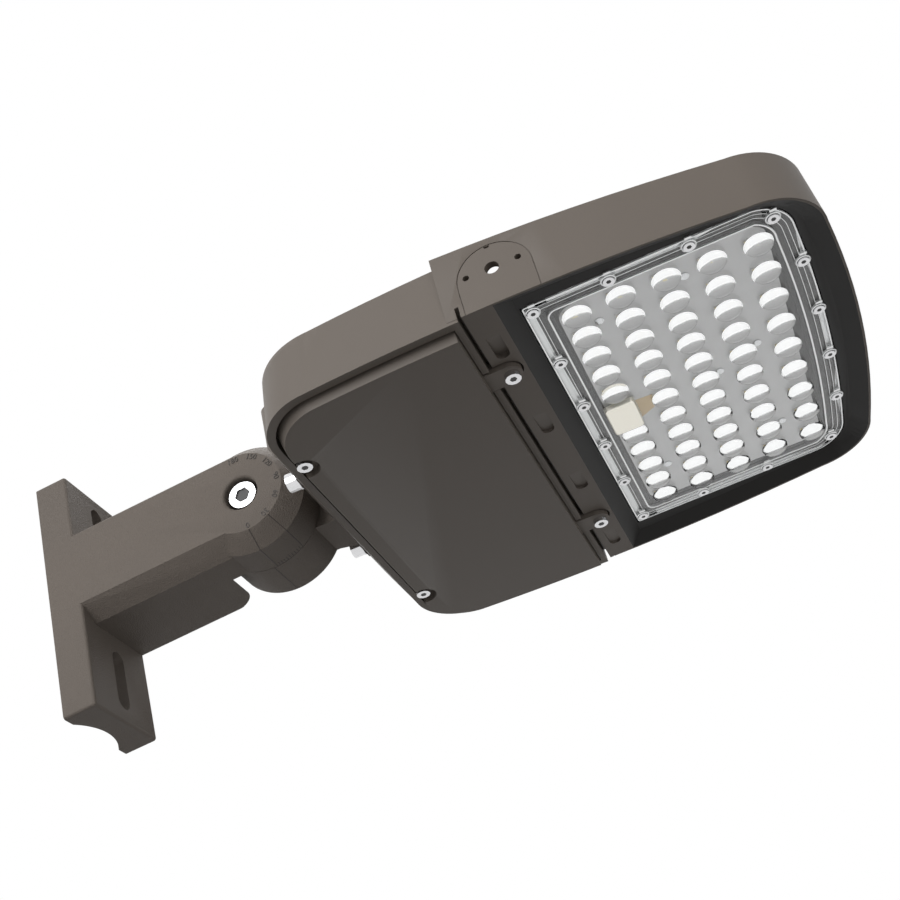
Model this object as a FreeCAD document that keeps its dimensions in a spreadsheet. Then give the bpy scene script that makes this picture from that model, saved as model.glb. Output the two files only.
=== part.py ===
import FreeCAD, Part
import math
import os
import re

import Sketcher
from FreeCAD import Placement, Rotation, Vector

# Shoebox area light on an adjustable arm.  Millimetres and degrees.
# Bracket frame: x = 0 is the back of the pole plate, z = 0 its middle, +X points along the arm.
# Head frame: the origin is the tilt pivot, +X points to the nose, and the lamp shines towards -Z.

SIZES = {
    # pole plate
    "plate_width": 60.0,
    "plate_height": 152.0,
    "plate_thick": 19.4,
    "plate_round": 1.8,
    "scoop_radius": 38.0,
    "scoop_half_width": 21.5,
    "slot_width": 11.0,
    "slot_length": 36.0,
    "slot_pitch": 99.0,
    # arm, its heights measured from the pivot
    "pivot_reach": 122.5,
    "pivot_height": 7.5,
    "arm_half_height": 29.0,
    "arm_top": 27.6,
    "arm_side_top": 24.8,
    "arm_side_bottom": 20.3,
    "arm_chamfer_depth": 11.4,
    "arm_far_round": 2.0,
    "notch_radius": 39.6,
    "notch_round": 13.5,
    # tilting joint
    "barrel_radius": 33.5,
    "barrel_face_radius": 24.6,
    "barrel_chamfer_depth": 9.6,
    "barrel_edge": 1.6,
    "seam_gap": 0.3,
    "counterbore_radius": 9.8,
    "counterbore_depth": 16.4,
    "pivot_thread_radius": 5.0,
    "pivot_clearance": 0.5,
    "pivot_bolt_head_radius": 8.0,
    "pivot_bolt_head_height": 10.0,
    "pivot_hex": 8.0,
    "pivot_hex_depth": 5.0,
    "washer_radius": 9.2,
    "washer_thick": 1.8,
    "spring_washer_radius": 8.6,
    "spring_washer_thick": 2.2,
    "nut_flats": 17.0,
    "nut_thick": 8.0,
    "nut_recess": 3.0,
    "nut_clearance": 0.2,
    "wireway_inner": 9.0,
    "wireway_outer": 15.0,
    "wireway_depth": 8.0,
    "wire_bore_radius": 7.5,
    "wire_bore_offset": 9.0,
    "head_droop": 3.75,
    # knuckle flange and its bolts
    "flange_x": 39.4,
    "flange_thick": 4.8,
    "flange_wing": 20.0,
    "flange_bottom": -20.0,
    "flange_top": 9.0,
    "flange_corner": 5.0,
    "neck_flare": 2.0,
    "neck_step": 0.6,
    "knuckle_gasket_thick": 1.0,
    "knuckle_bolt_out": 10.4,
    "knuckle_bolt_low": -15.4,
    "knuckle_bolt_high": 4.0,
    "knuckle_bolt_radius": 3.0,
    "knuckle_bolt_head_radius": 5.0,
    "knuckle_bolt_head_height": 6.0,
    "knuckle_bolt_hex": 5.0,
    "knuckle_bolt_length": 12.0,
    "knuckle_washer_radius": 5.3,
    "knuckle_washer_thick": 1.0,
    # head housing outline, seen from above
    "rear_x": 48.0,
    "rear_flat": 92.0,
    "rear_corner_x": 79.0,
    "rear_corner_y": 124.3,
    "rear_corner_radius": 32.0,
    "rear_top_reach": 1.8,
    "rear_top_flat": 80.3,
    "rear_top_corner_x": 88.1,
    "rear_top_radius": 41.8,
    "side_radius": 1014.0,
    "step_x": 153.8,
    "step_y": 127.3,
    "nose_corner_x": 295.0,
    "nose_corner_y": 118.3,
    "nose_corner_radius": 32.0,
    "nose_edge_x": 327.0,
    "nose_edge_y": 88.0,
    "nose_radius": 645.0,
    # head housing heights
    "rim_z": -33.0,
    "rear_rim_z": -34.8,
    "rear_top_z": 3.0,
    "rear_lean": 4.0,
    "roof_crown": 9.0,
    "roof_half_width": 121.0,
    "spine_half": 56.0,
    "spine_foot": 84.0,
    "front_top_z": 8.0,
    "nose_top_z": -3.0,
    "front_lean": 1.2,
    "boss_x": 38.0,
    "boss_half_width": 83.0,
    "boss_low_z": -16.0,
    "boss_round": 10.0,
    "boss_seat_fit": 0.8,
    # driver compartment and its cover
    "wall": 3.5,
    "cover_lip": 4.5,
    "rear_lip_cut": 0.8,
    "ledge_z": -28.5,
    "bay_x0": 63.0,
    "bay_front_wall": 8.6,
    "bay_half_width": 108.0,
    "bay_corner": 12.0,
    "bay_top_z": -1.0,
    "bay_back_x": 53.0,
    "bay_back_half_width": 68.0,
    "bay_back_low_z": -21.0,
    "gap_web": 3.4,
    "gap_width": 2.0,
    "gap_top_z": -26.5,
    "strip_x": 155.6,
    "cover_gasket_thick": 1.2,
    "cover_gasket_width": 4.0,
    "cover_face_z": -39.5,
    "cover_thick": 2.6,
    "cover_lean": 2.3,
    "cover_fit": 0.5,
    "cover_tab_radius": 6.8,
    "cover_tab_fit": 0.9,
    "cover_tab_back": 1.3,
    "cover_tab_z": -29.0,
    "cover_tab_thick": 6.0,
    "cover_screw_reach": 12.2,
    "cover_front_screw_y": 77.5,
    "cover_rear_screw_x": 56.6,
    "cover_rear_screw_y": 77.4,
    "cover_screw_radius": 2.0,
    "cover_screw_head_radius": 3.9,
    "cover_screw_head_height": 3.0,
    "cover_screw_length": 12.0,
    "cover_screw_hex": 3.0,
    "cover_pocket_radius": 7.5,
    "cover_pocket_z": -35.4,
    "cover_tab_gap": 0.4,
    # lamp chamber
    "bar_x1": 176.0,
    "rim_width": 1.2,
    "recess_z": -27.6,
    "recess_slope": 8.0,
    "lens_z": -27.2,
    "lens_thick": 2.5,
    "lens_fit": 0.6,
    "seat_z": -22.0,
    "seat_inset": 8.6,
    "tray_floor_z": -16.0,
    "tray_x0": 155.5,
    "fin_thick": 2.4,
    "fin_pitch": 10.0,
    "fin_count": 21,
    "fin_x0": 162.0,
    "fin_x1": 312.0,
    "side_hole_x": 181.0,
    "side_hole_z": -12.2,
    "side_hole_radius": 3.5,
    "side_pin_radius": 1.6,
    "side_pin_offset": 12.8,
    # lens plate
    "lens_x0": 185.4,
    "lens_half_width": 109.4,
    "lens_corner_x": 296.0,
    "lens_corner_y": 108.6,
    "lens_corner_radius": 21.0,
    "lens_edge_x": 313.2,
    "lens_edge_y": 90.0,
    "lens_edge_radius": 950.0,
    "lens_gasket_width": 3.0,
    "lens_screw_radius": 1.5,
    "lens_screw_head_radius": 2.7,
    "lens_screw_head_height": 1.6,
    "lens_screw_length": 8.0,
    "lens_screw_edge": 4.1,
    "lens_screw_margin": 5.3,
    "lens_screw_first": 41.4,
    "lens_screw_pitch": 38.9,
    "lens_screw_turn": 5.5,
    "lens_screw_wide": 61.0,
    "lens_screw_narrow": 20.3,
    "lens_screw_nose": 2.6,
    "panel_inset": 9.5,
    "panel_rise": 0.8,
    "dome_long": 8.2,
    "dome_short": 5.9,
    "dome_height": 5.0,
    "dome_shift": 1.8,
    # lamp board
    "board_x0": 198.4,
    "board_x1": 300.5,
    "board_half_width": 96.0,
    "board_corner": 9.0,
    "board_thick": 1.6,
    "board_screw_x": 16.8,
    "board_screw_radius": 1.25,
    "board_screw_head_radius": 2.2,
    "board_screw_head_height": 0.8,
    "board_screw_length": 5.6,
    "lamp_size": 5.0,
    "lamp_thick": 0.7,
    "lamp_x0": 204.2,
    "lamp_column_pitch": 22.1,
    "lamp_gap": 41.5,
    "lamp_pitch": 17.2,
    "lamp_spread": 0.9,
    "lamp_taper": 1.5,
    "connector_length": 13.0,
    "connector_width": 17.0,
    "connector_height": 1.0,
    # driver and the pieces beside it
    "driver_x": 70.0,
    "driver_width": 62.0,
    "driver_length": 140.0,
    "driver_height": 27.0,
    "driver_y": -66.0,
    "driver_flange": 9.0,
    "driver_flange_thick": 1.5,
    "driver_screw_inset": 12.0,
    "driver_screw_radius": 2.0,
    "driver_screw_length": 4.3,
    "driver_screw_head_radius": 3.6,
    "driver_screw_head_height": 2.2,
    "surge_inset": 20.0,
    "surge_width": 34.0,
    "surge_length": 24.0,
    "surge_height": 24.0,
    "block_inset": 8.0,
    "block_width": 44.0,
    "block_length": 16.0,
    "block_height": 14.0,
    "block_gap": 2.0,
    "block_hole_radius": 3.2,
    "block_hole_depth": 4.0,
    "block_hole_pitch": 15.0,
}

# places that several pieces share
FLANGE_HALF = "(plate_width / 2 + flange_wing)"
BOLT_Y = "(plate_width / 2 + knuckle_bolt_out)"
FLANGE_BACK = "(flange_x + flange_thick)"
SEAT_X = "(flange_x + flange_thick + knuckle_gasket_thick)"
BAY_FRONT = "(strip_x - bay_front_wall)"
GAP_START = "(strip_x + gap_web)"
TAB_SCREW_X = "(strip_x + cover_screw_reach)"
TAB_X = "(strip_x + cover_screw_reach - cover_tab_back)"
COVER_TOP = "(ledge_z - cover_gasket_thick)"

SCREW_SIDES = 12
SHANK_SIDES = 8
DOME_SIDES = 10

DOC = FreeCAD.newDocument("AreaLight")
SHEET = DOC.addObject("Spreadsheet::Sheet", "Sizes")
NODES = []


def fill_sheet():
    """Every driving size goes into the sheet under its own name."""
    for row, (alias, number) in enumerate(SIZES.items(), start=1):
        SHEET.set(f"A{row}", alias)
        SHEET.set(f"B{row}", str(number))
        SHEET.setAlias(f"B{row}", alias)
    DOC.recompute()


def linked(expression):
    """The expression with each size's name pointing at the sheet."""
    def point(match):
        word = match.group(0)
        return f"Sizes.{word}" if word in SIZES else word
    return re.sub(r"[a-z][a-z0-9_]*", point, str(expression))


def size(expression):
    """The number that the expression gives now."""
    return float(SHEET.evalExpression(linked(expression)))


def bind(thing, prop, expression):
    thing.setExpression(prop, linked(expression))


# ---------------------------------------------------------------- bodies, sketches and features

def new_body(label):
    body = DOC.addObject("PartDesign::Body", label)
    body.Label = label
    return body


def new_sketch(body, role, at=("0", "0", "0")):
    """A sketch on one of the body's own planes, shifted in the sketch's own axes."""
    plane = [face for face in body.Origin.OriginFeatures if face.Role == role][0]
    sketch = body.newObject("Sketcher::SketchObject", body.Label + "_sketch")
    sketch.AttachmentSupport = [(plane, "")]
    sketch.MapMode = "FlatFace"
    sketch.AttachmentOffset = Placement(Vector(*[size(a) for a in at]), Rotation())
    for axis, amount in zip("xyz", at):
        if amount != "0":
            bind(sketch, f"AttachmentOffset.Base.{axis}", amount)
    return sketch


def pin_point(sketch, geo, pos, x, y):
    """Fix one point of the sketch by its distances from the origin."""
    for kind, axis, amount in (("DistanceX", -2, x), ("DistanceY", -1, y)):
        if abs(size(amount)) < 1e-9:
            sketch.addConstraint(Sketcher.Constraint("PointOnObject", geo, pos, axis))
        else:
            index = sketch.addConstraint(Sketcher.Constraint(kind, -1, 1, geo, pos, size(amount)))
            bind(sketch, f"Constraints[{index}]", amount)


def pin_radius(sketch, geo, radius):
    index = sketch.addConstraint(Sketcher.Constraint("Radius", geo, size(radius)))
    bind(sketch, f"Constraints[{index}]", radius)


def arc_between(start, end, radius):
    """The short arc from start to end, counter-clockwise round its centre."""
    middle = (start + end) * 0.5
    half = (end - start).Length / 2
    left = Vector(start.y - end.y, end.x - start.x, 0).normalize()
    centre = middle + left * math.sqrt(max(radius * radius - half * half, 0))
    first = math.atan2(start.y - centre.y, start.x - centre.x)
    last = math.atan2(end.y - centre.y, end.x - centre.x)
    return Part.ArcOfCircle(Part.Circle(centre, Vector(0, 0, 1), radius), first, last)


def draw_outline(sketch, corners):
    """A closed outline.  A corner is (x, y), or (x, y, radius) where an outward arc starts.

    A radius that begins with a minus sign gives an arc that curves inward."""
    points = [Vector(size(c[0]), size(c[1]), 0) for c in corners]
    pieces = []
    for index, corner in enumerate(corners):
        start, end = points[index], points[(index + 1) % len(points)]
        if len(corner) == 2:
            pieces.append((sketch.addGeometry(Part.LineSegment(start, end)), 1, 2))
        elif corner[2].startswith("-"):
            arc = arc_between(end, start, size(corner[2][1:]))
            pieces.append((sketch.addGeometry(arc), 2, 1))
        else:
            arc = arc_between(start, end, size(corner[2]))
            pieces.append((sketch.addGeometry(arc), 1, 2))
    for index, (geo, first, _) in enumerate(pieces):
        before, _, last = pieces[index - 1]
        sketch.addConstraint(Sketcher.Constraint("Coincident", before, last, geo, first))
        pin_point(sketch, geo, first, corners[index][0], corners[index][1])
        if len(corners[index]) == 3:
            pin_radius(sketch, geo, corners[index][2].lstrip("-"))
    return sketch


def draw_circle(sketch, x, y, radius):
    circle = Part.Circle(Vector(size(x), size(y), 0), Vector(0, 0, 1), size(radius))
    geo = sketch.addGeometry(circle)
    pin_point(sketch, geo, 3, x, y)
    pin_radius(sketch, geo, radius)


def rectangle(x0, y0, x1, y1):
    return [(x0, y0), (x1, y0), (x1, y1), (x0, y1)]


def rounded_rectangle(x0, y0, x1, y1, r):
    """A rectangle with its four corners rounded, as an outline."""
    return [(f"{x0} + {r}", y0), (f"{x1} - {r}", y0, r), (x1, f"{y0} + {r}"),
            (x1, f"{y1} - {r}", r), (f"{x1} - {r}", y1), (f"{x0} + {r}", y1, r),
            (x0, f"{y1} - {r}"), (x0, f"{y0} + {r}", r)]


def draw_slot(sketch, x, y0, y1, radius):
    """An upright slot whose round ends are centred at y0 and y1."""
    r, x_now, low, high = size(radius), size(x), size(y0), size(y1)
    axis = Vector(0, 0, 1)
    top = sketch.addGeometry(Part.ArcOfCircle(Part.Circle(Vector(x_now, high, 0), axis, r), 0, math.pi))
    bottom = sketch.addGeometry(
        Part.ArcOfCircle(Part.Circle(Vector(x_now, low, 0), axis, r), math.pi, 2 * math.pi))
    left = sketch.addGeometry(Part.LineSegment(Vector(x_now - r, high, 0), Vector(x_now - r, low, 0)))
    right = sketch.addGeometry(Part.LineSegment(Vector(x_now + r, low, 0), Vector(x_now + r, high, 0)))
    for one, end_one, other, end_other in ((top, 2, left, 1), (left, 2, bottom, 1),
                                           (bottom, 2, right, 1), (right, 2, top, 1)):
        sketch.addConstraint(Sketcher.Constraint("Tangent", one, end_one, other, end_other))
    pin_point(sketch, top, 3, x, y1)
    pin_point(sketch, bottom, 3, x, y0)
    pin_radius(sketch, top, radius)


def pad(body, sketch, length, both_ways=False, backwards=False):
    feature = body.newObject("PartDesign::Pad", body.Label + "_pad")
    feature.Profile = sketch
    feature.Midplane = both_ways
    feature.Reversed = backwards
    bind(feature, "Length", length)
    return feature


def pocket(body, sketch, length, both_ways=False, backwards=False):
    """Cuts towards the back of the sketch, or towards its front when backwards."""
    DOC.recompute()
    before = body.Shape.Volume
    feature = body.newObject("PartDesign::Pocket", body.Label + "_pocket")
    feature.Profile = sketch
    feature.Midplane = both_ways
    feature.Reversed = backwards
    bind(feature, "Length", length)
    DOC.recompute()
    if not body.Shape.Volume < before - 1e-6:
        raise ValueError(f"a pocket of {body.Label} cuts nothing")
    return feature


def revolve(body, sketch):
    feature = body.newObject("PartDesign::Revolution", body.Label + "_revolution")
    feature.Profile = sketch
    feature.ReferenceAxis = (sketch, ["V_Axis"])
    feature.Angle = 360
    return feature


def groove(body, sketch):
    feature = body.newObject("PartDesign::Groove", body.Label + "_groove")
    feature.Profile = sketch
    feature.ReferenceAxis = (sketch, ["V_Axis"])
    feature.Angle = 360
    return feature


def loft(body, lower, upper, cut=False):
    kind = "SubtractiveLoft" if cut else "AdditiveLoft"
    feature = body.newObject("PartDesign::" + kind, body.Label + "_loft")
    feature.Profile = lower
    feature.Sections = [upper]
    feature.Ruled = True
    return feature


def fillet_edges(body, radius, chosen):
    """Round the edges of the body's tip that the test picks."""
    DOC.recompute()
    base = body.Tip
    names = [f"Edge{i}" for i, edge in enumerate(base.Shape.Edges, start=1) if chosen(edge)]
    if not names:
        raise ValueError(f"no edge of {body.Label} to round")
    feature = body.newObject("PartDesign::Fillet", body.Label + "_fillet")
    feature.Base = (base, names)
    bind(feature, "Radius", radius)
    DOC.recompute()
    return feature


def keep(thing, label=None):
    """Make the object one of the light's sub-parts."""
    if label:
        thing.Label = label
    NODES.append(thing)
    return thing


def to_head(thing):
    """Seat a piece drawn in the head frame: tilt it about the pivot, then carry it to the arm."""
    droop = Rotation(Vector(0, 1, 0), size("head_droop"))
    pivot = Vector(size("pivot_reach"), 0, size("pivot_height"))
    thing.Placement = Placement(pivot, droop)
    return keep(thing)


def shape_node(label, shape, in_head=True):
    """A sub-part made of several separate solids, or one that a plain solid describes best."""
    thing = DOC.addObject("Part::Feature", label)
    thing.Label = label
    thing.Shape = shape
    if in_head:
        return to_head(thing)
    return keep(thing)


def near(a, b, slack=0.05):
    return abs(a - b) < slack


def arc_radius(edge):
    """The radius of a round edge, or zero."""
    try:
        return edge.Curve.Radius
    except (AttributeError, TypeError):
        return 0.0


# ---------------------------------------------------------------- loose solids

def cylinder(radius, length, base, direction):
    return Part.makeCylinder(radius, length, base, direction)


def prism(sides, across, length, base, direction):
    """A many-sided prism, its flats this far apart."""
    corner = across / 2 / math.cos(math.pi / sides)
    turns = [2 * math.pi * k / sides for k in range(sides + 1)]
    ring = [Vector(corner * math.cos(turn), corner * math.sin(turn), 0) for turn in turns]
    solid = Part.Face(Part.makePolygon(ring)).extrude(Vector(0, 0, length))
    solid.Placement = Placement(base, Rotation(Vector(0, 0, 1), direction))
    return solid


def cap_screw(seat, direction, shank_radius, length, head_radius, head_height, flats, socket):
    """A socket screw.  Its head stands on the seat, against the direction that it is driven in."""
    back = direction * -1
    body = cylinder(head_radius, head_height, seat, back)
    body = body.fuse(cylinder(shank_radius, length, seat, direction))
    top = seat + back * head_height
    return body.cut(prism(6, flats, socket, top, direction)).removeSplitter()


def small_screw(seat, direction, shank_radius, length, head_radius, head_height):
    """A small fastener with many flat sides, for the places that hold a dozen of them."""
    head = prism(SCREW_SIDES, 2 * head_radius, head_height, seat, direction * -1)
    across = 2 * shank_radius * math.cos(math.pi / SHANK_SIDES)
    return head.fuse(prism(SHANK_SIDES, across, length, seat, direction)).removeSplitter()


def ring(outer, inner, thick, base, direction):
    return cylinder(outer, thick, base, direction).cut(cylinder(inner, thick, base, direction))


# ---------------------------------------------------------------- bracket

def arm_bracket():
    """Pole plate, arm and near ear of the joint: one casting."""
    body = new_body("arm_bracket")
    half_w = "plate_width / 2"
    plate = new_sketch(body, "YZ_Plane")
    draw_outline(plate, rectangle("-plate_width / 2", "-plate_height / 2", half_w, "plate_height / 2"))
    pad(body, plate, "plate_thick")
    fillet_edges(body, "plate_round", lambda e: not near(e.CenterOfMass.x, 0))

    # the arm's section: a broad chamfer low on the near side, a narrow one above it
    root = "plate_thick * 0.6"
    high_chamfer = "(arm_top - arm_side_top) * barrel_chamfer_depth"
    high_chamfer = f"{high_chamfer} / (barrel_radius - barrel_face_radius)"
    section = new_sketch(body, "YZ_Plane", ("0", "pivot_height", root))
    draw_outline(section, [
        (f"-{half_w}", "-arm_side_bottom"), (f"-{half_w} + arm_chamfer_depth", "-arm_half_height"),
        (f"{half_w} - arm_far_round", "-arm_half_height", "arm_far_round"),
        (half_w, "-arm_half_height + arm_far_round"),
        (half_w, "arm_top - arm_far_round", "arm_far_round"),
        (f"{half_w} - arm_far_round", "arm_top"), (f"-{half_w} + {high_chamfer}", "arm_top"),
        (f"-{half_w}", "arm_side_top")])
    pad(body, section, f"pivot_reach - {root}")

    # the near ear: a barrel that narrows to the numbered face
    ear = new_sketch(body, "XY_Plane", ("pivot_reach", "0", "pivot_height"))
    draw_outline(ear, [
        ("0", f"-{half_w}"), ("barrel_face_radius", f"-{half_w}"),
        ("barrel_radius", f"-{half_w} + barrel_chamfer_depth"), ("barrel_radius", "-seam_gap / 2"),
        ("0", "-seam_gap / 2")])
    revolve(body, ear)

    # room for the far ear to turn in
    notch = new_sketch(body, "XY_Plane", ("pivot_reach", "0", "pivot_height"))
    draw_outline(notch, [
        ("0", "-seam_gap / 2"), ("notch_radius", "-seam_gap / 2"),
        ("notch_radius", f"{half_w} - notch_round", "-notch_round"),
        ("notch_radius + notch_round", half_w), ("notch_radius + notch_round", f"{half_w} + 1"),
        ("0", f"{half_w} + 1")])
    groove(body, notch)

    # counterbore and bolt hole
    bore = new_sketch(body, "XZ_Plane", ("0", "0", half_w))
    draw_circle(bore, "pivot_reach", "pivot_height", "counterbore_radius")
    pocket(body, bore, "counterbore_depth")
    hole = new_sketch(body, "XZ_Plane", ("0", "0", half_w))
    draw_circle(hole, "pivot_reach", "pivot_height", "pivot_thread_radius + pivot_clearance")
    pocket(body, hole, "plate_width")

    # the wire's way: a bore along the arm and a ring about the bolt
    way = new_sketch(body, "YZ_Plane", ("0", "pivot_height", "0"))
    draw_circle(way, "-wire_bore_offset", "0", "wire_bore_radius")
    pocket(body, way, "pivot_reach - wireway_outer + 2", backwards=True)
    about = new_sketch(body, "XZ_Plane", ("0", "0", "seam_gap / 2"))
    draw_circle(about, "pivot_reach", "pivot_height", "wireway_outer")
    draw_circle(about, "pivot_reach", "pivot_height", "wireway_inner")
    pocket(body, about, "wireway_depth", backwards=True)

    # round-pole scoop and the two bolt slots
    scoop = new_sketch(body, "XY_Plane")
    draw_circle(scoop, "-sqrt(scoop_radius * scoop_radius - scoop_half_width * scoop_half_width)", "0",
                "scoop_radius")
    pocket(body, scoop, "plate_height * 2", both_ways=True)
    for side in ("", "-"):
        slot = new_sketch(body, "YZ_Plane")
        middle, reach = f"{side}slot_pitch / 2", "(slot_length - slot_width) / 2"
        draw_slot(slot, "0", f"{middle} - {reach}", f"{middle} + {reach}", "slot_width / 2")
        pocket(body, slot, "plate_thick", backwards=True)
    return keep(body)


def pivot_hardware():
    """Bolt with its two washers in the near ear, and the nut that sits in the far ear."""
    along = Vector(0, 1, 0)
    pivot = Vector(size("pivot_reach"), 0, size("pivot_height"))
    floor_y = -size("plate_width") / 2 + size("counterbore_depth")
    flat, spring = size("washer_thick"), size("spring_washer_thick")
    inner = size("pivot_thread_radius") + 0.2
    shape_node("pivot_washer", ring(size("washer_radius"), inner, flat,
                                    pivot + Vector(0, floor_y - flat, 0), along), in_head=False)
    split = ring(size("spring_washer_radius"), inner, spring,
                 pivot + Vector(0, floor_y - flat - spring, 0), along)
    cut = Part.makeBox(1.2, spring, size("spring_washer_radius"))
    cut.Placement = Placement(pivot + Vector(-0.6, floor_y - flat - spring, 0),
                              Rotation(Vector(0, 1, 0), -40))
    shape_node("pivot_spring_washer", split.cut(cut), in_head=False)
    seat = pivot + Vector(0, floor_y - flat - spring, 0)
    nut_far = size("plate_width") / 2 - size("nut_recess")
    length = nut_far - seat.y + 1.0
    bolt = cap_screw(seat, along, size("pivot_thread_radius"), length, size("pivot_bolt_head_radius"),
                     size("pivot_bolt_head_height"), size("pivot_hex"), size("pivot_hex_depth"))
    shape_node("pivot_bolt", bolt, in_head=False)

    thick = size("nut_thick")
    nut = prism(6, size("nut_flats"), thick, Vector(0, nut_far - thick, 0), along)
    nut = nut.cut(cylinder(size("pivot_thread_radius") + 0.3, thick, Vector(0, nut_far - thick, 0), along))
    shape_node("pivot_nut", nut)


# ---------------------------------------------------------------- knuckle

def knuckle():
    """Far ear of the joint with its neck and the flange that bolts to the head."""
    body = new_body("knuckle")
    ear = new_sketch(body, "XY_Plane")
    draw_outline(ear, [
        ("0", "seam_gap / 2"), ("barrel_radius", "seam_gap / 2"),
        ("barrel_radius", "plate_width / 2 - barrel_edge"),
        ("barrel_radius - barrel_edge", "plate_width / 2"), ("0", "plate_width / 2")])
    revolve(body, ear)
    # neck: as wide as the ear, opening a little towards the flange
    neck = new_sketch(body, "XY_Plane", ("0", "0", "flange_bottom + neck_step"))
    draw_outline(neck, [
        ("wireway_outer + 3", "seam_gap / 2"), ("flange_x + 1", "seam_gap / 2"),
        ("flange_x + 1", "plate_width / 2 + neck_flare"),
        ("barrel_radius - 4", "plate_width / 2 - barrel_edge"),
        ("wireway_outer + 3", "plate_width / 2 - barrel_edge")])
    pad(body, neck, "flange_top - flange_bottom - neck_step * 2")
    flange = new_sketch(body, "YZ_Plane", ("0", "0", "flange_x"))
    draw_outline(flange, rounded_rectangle(f"-{FLANGE_HALF}", "flange_bottom", FLANGE_HALF,
                                           "flange_top", "flange_corner"))
    pad(body, flange, "flange_thick")

    nut_seat = new_sketch(body, "XZ_Plane", ("0", "0", "-plate_width / 2"))
    flats = "(nut_flats / 2 + nut_clearance)"
    corner = f"{flats} / sqrt(3) * 2"
    draw_outline(nut_seat, [(corner, "0"), (f"{corner} / 2", flats), (f"-{corner} / 2", flats),
                            (f"-{corner}", "0"), (f"-{corner} / 2", f"-{flats}"),
                            (f"{corner} / 2", f"-{flats}")])
    pocket(body, nut_seat, "nut_recess + nut_thick", backwards=True)
    hole = new_sketch(body, "XZ_Plane")
    draw_circle(hole, "0", "0", "pivot_thread_radius + pivot_clearance")
    pocket(body, hole, "plate_width * 2", both_ways=True)
    way = new_sketch(body, "YZ_Plane", ("0", "0", FLANGE_BACK))
    draw_circle(way, "wire_bore_offset", "0", "wire_bore_radius")
    pocket(body, way, f"{FLANGE_BACK} - wireway_outer + 2")
    about = new_sketch(body, "XZ_Plane", ("0", "0", "-seam_gap / 2"))
    draw_circle(about, "0", "0", "wireway_outer")
    draw_circle(about, "0", "0", "wireway_inner")
    pocket(body, about, "wireway_depth")
    for side in ("", "-"):
        holes = new_sketch(body, "YZ_Plane", ("0", "0", FLANGE_BACK))
        draw_circle(holes, f"{side}{BOLT_Y}", "knuckle_bolt_low", "knuckle_bolt_radius + 0.3")
        draw_circle(holes, f"{side}{BOLT_Y}", "knuckle_bolt_high", "knuckle_bolt_radius + 0.3")
        pocket(body, holes, "flange_thick")
    return to_head(body)


def knuckle_bolt_places():
    return [(side * size(BOLT_Y), size(level))
            for side in (-1, 1) for level in ("knuckle_bolt_low", "knuckle_bolt_high")]


def knuckle_fixings():
    """Gasket under the flange, four cap screws and their washers."""
    along = Vector(1, 0, 0)
    thick = size("knuckle_gasket_thick")
    back = size(FLANGE_BACK)
    low, high, half = size("flange_bottom"), size("flange_top"), size(FLANGE_HALF)
    sheet = Part.makeBox(thick, 2 * half - 2, high - low - 2, Vector(back, -half + 1, low + 1))
    upright = [e for e in sheet.Edges if near(abs(e.tangentAt(e.FirstParameter).x), 1)]
    sheet = sheet.makeChamfer(size("flange_corner") * 0.6, upright)
    sheet = sheet.cut(cylinder(size("wire_bore_radius") + 1, thick,
                               Vector(back, size("wire_bore_offset"), 0), along))
    hole = 2 * size("knuckle_bolt_radius") + 0.6
    for y, z in knuckle_bolt_places():
        sheet = sheet.cut(prism(8, hole, thick, Vector(back, y, z), along))
    shape_node("knuckle_gasket", sheet)

    washer, face = size("knuckle_washer_thick"), size("flange_x")
    bore = 2 * size("knuckle_bolt_radius") + 0.4
    washers, bolts = [], []
    for y, z in knuckle_bolt_places():
        seat = Vector(face - washer, y, z)
        disc = prism(SCREW_SIDES, 2 * size("knuckle_washer_radius"), washer, seat, along)
        washers.append(disc.cut(prism(SCREW_SIDES, bore, washer, seat, along)))
        bolt = small_screw(seat, along, size("knuckle_bolt_radius"), size("knuckle_bolt_length"),
                           size("knuckle_bolt_head_radius"), size("knuckle_bolt_head_height"))
        top = seat - along * size("knuckle_bolt_head_height")
        bolts.append(bolt.cut(prism(6, size("knuckle_bolt_hex"), size("knuckle_bolt_hex") / 2, top, along)))
    shape_node("knuckle_washers", Part.makeCompound(washers))
    shape_node("knuckle_bolts", Part.makeCompound(bolts))


# ---------------------------------------------------------------- head outlines

def front_outline(x0, inset, lean="0", y0="step_y"):
    """The lamp half's outline from the line x0 forwards, drawn in by the inset on all sides."""
    inset = f"({inset})"
    side_y, edge_y = f"nose_corner_y - {inset} - {lean}", f"nose_edge_y - {inset} * 0.4"
    edge_x = f"nose_edge_x - {inset} - {lean}"
    start_y = f"{y0} - {inset} - {lean}"
    return [(x0, f"-({start_y})", "side_radius"), ("nose_corner_x", f"-({side_y})",
                                                   f"nose_corner_radius - {inset} * 0.6"),
            (edge_x, f"-({edge_y})", "nose_radius"), (edge_x, edge_y, f"nose_corner_radius - {inset} * 0.6"),
            ("nose_corner_x", side_y, "side_radius"), (x0, start_y)]


def rear_outline(x1, inset, lean="0", back="0", corner=("rear_flat", "rear_corner_x", "rear_corner_radius")):
    """The driver half's outline back from the line x1, drawn in by the inset on all sides."""
    inset = f"({inset})"
    flat_y, corner_x, round_r = corner
    rear = f"rear_x + {inset} + {back}"
    flat, corner_y = f"{flat_y} - {inset} * 0.4 - {lean} * 0.5", f"rear_corner_y - {inset} - {lean}"
    end_y, radius = f"step_y - {inset} - {lean}", f"{round_r} - {inset} * 0.6"
    return [(rear, f"-({flat})", radius), (corner_x, f"-({corner_y})", "side_radius"),
            (x1, f"-({end_y})"), (x1, end_y, "side_radius"), (corner_x, corner_y, radius),
            (rear, flat)]


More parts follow.
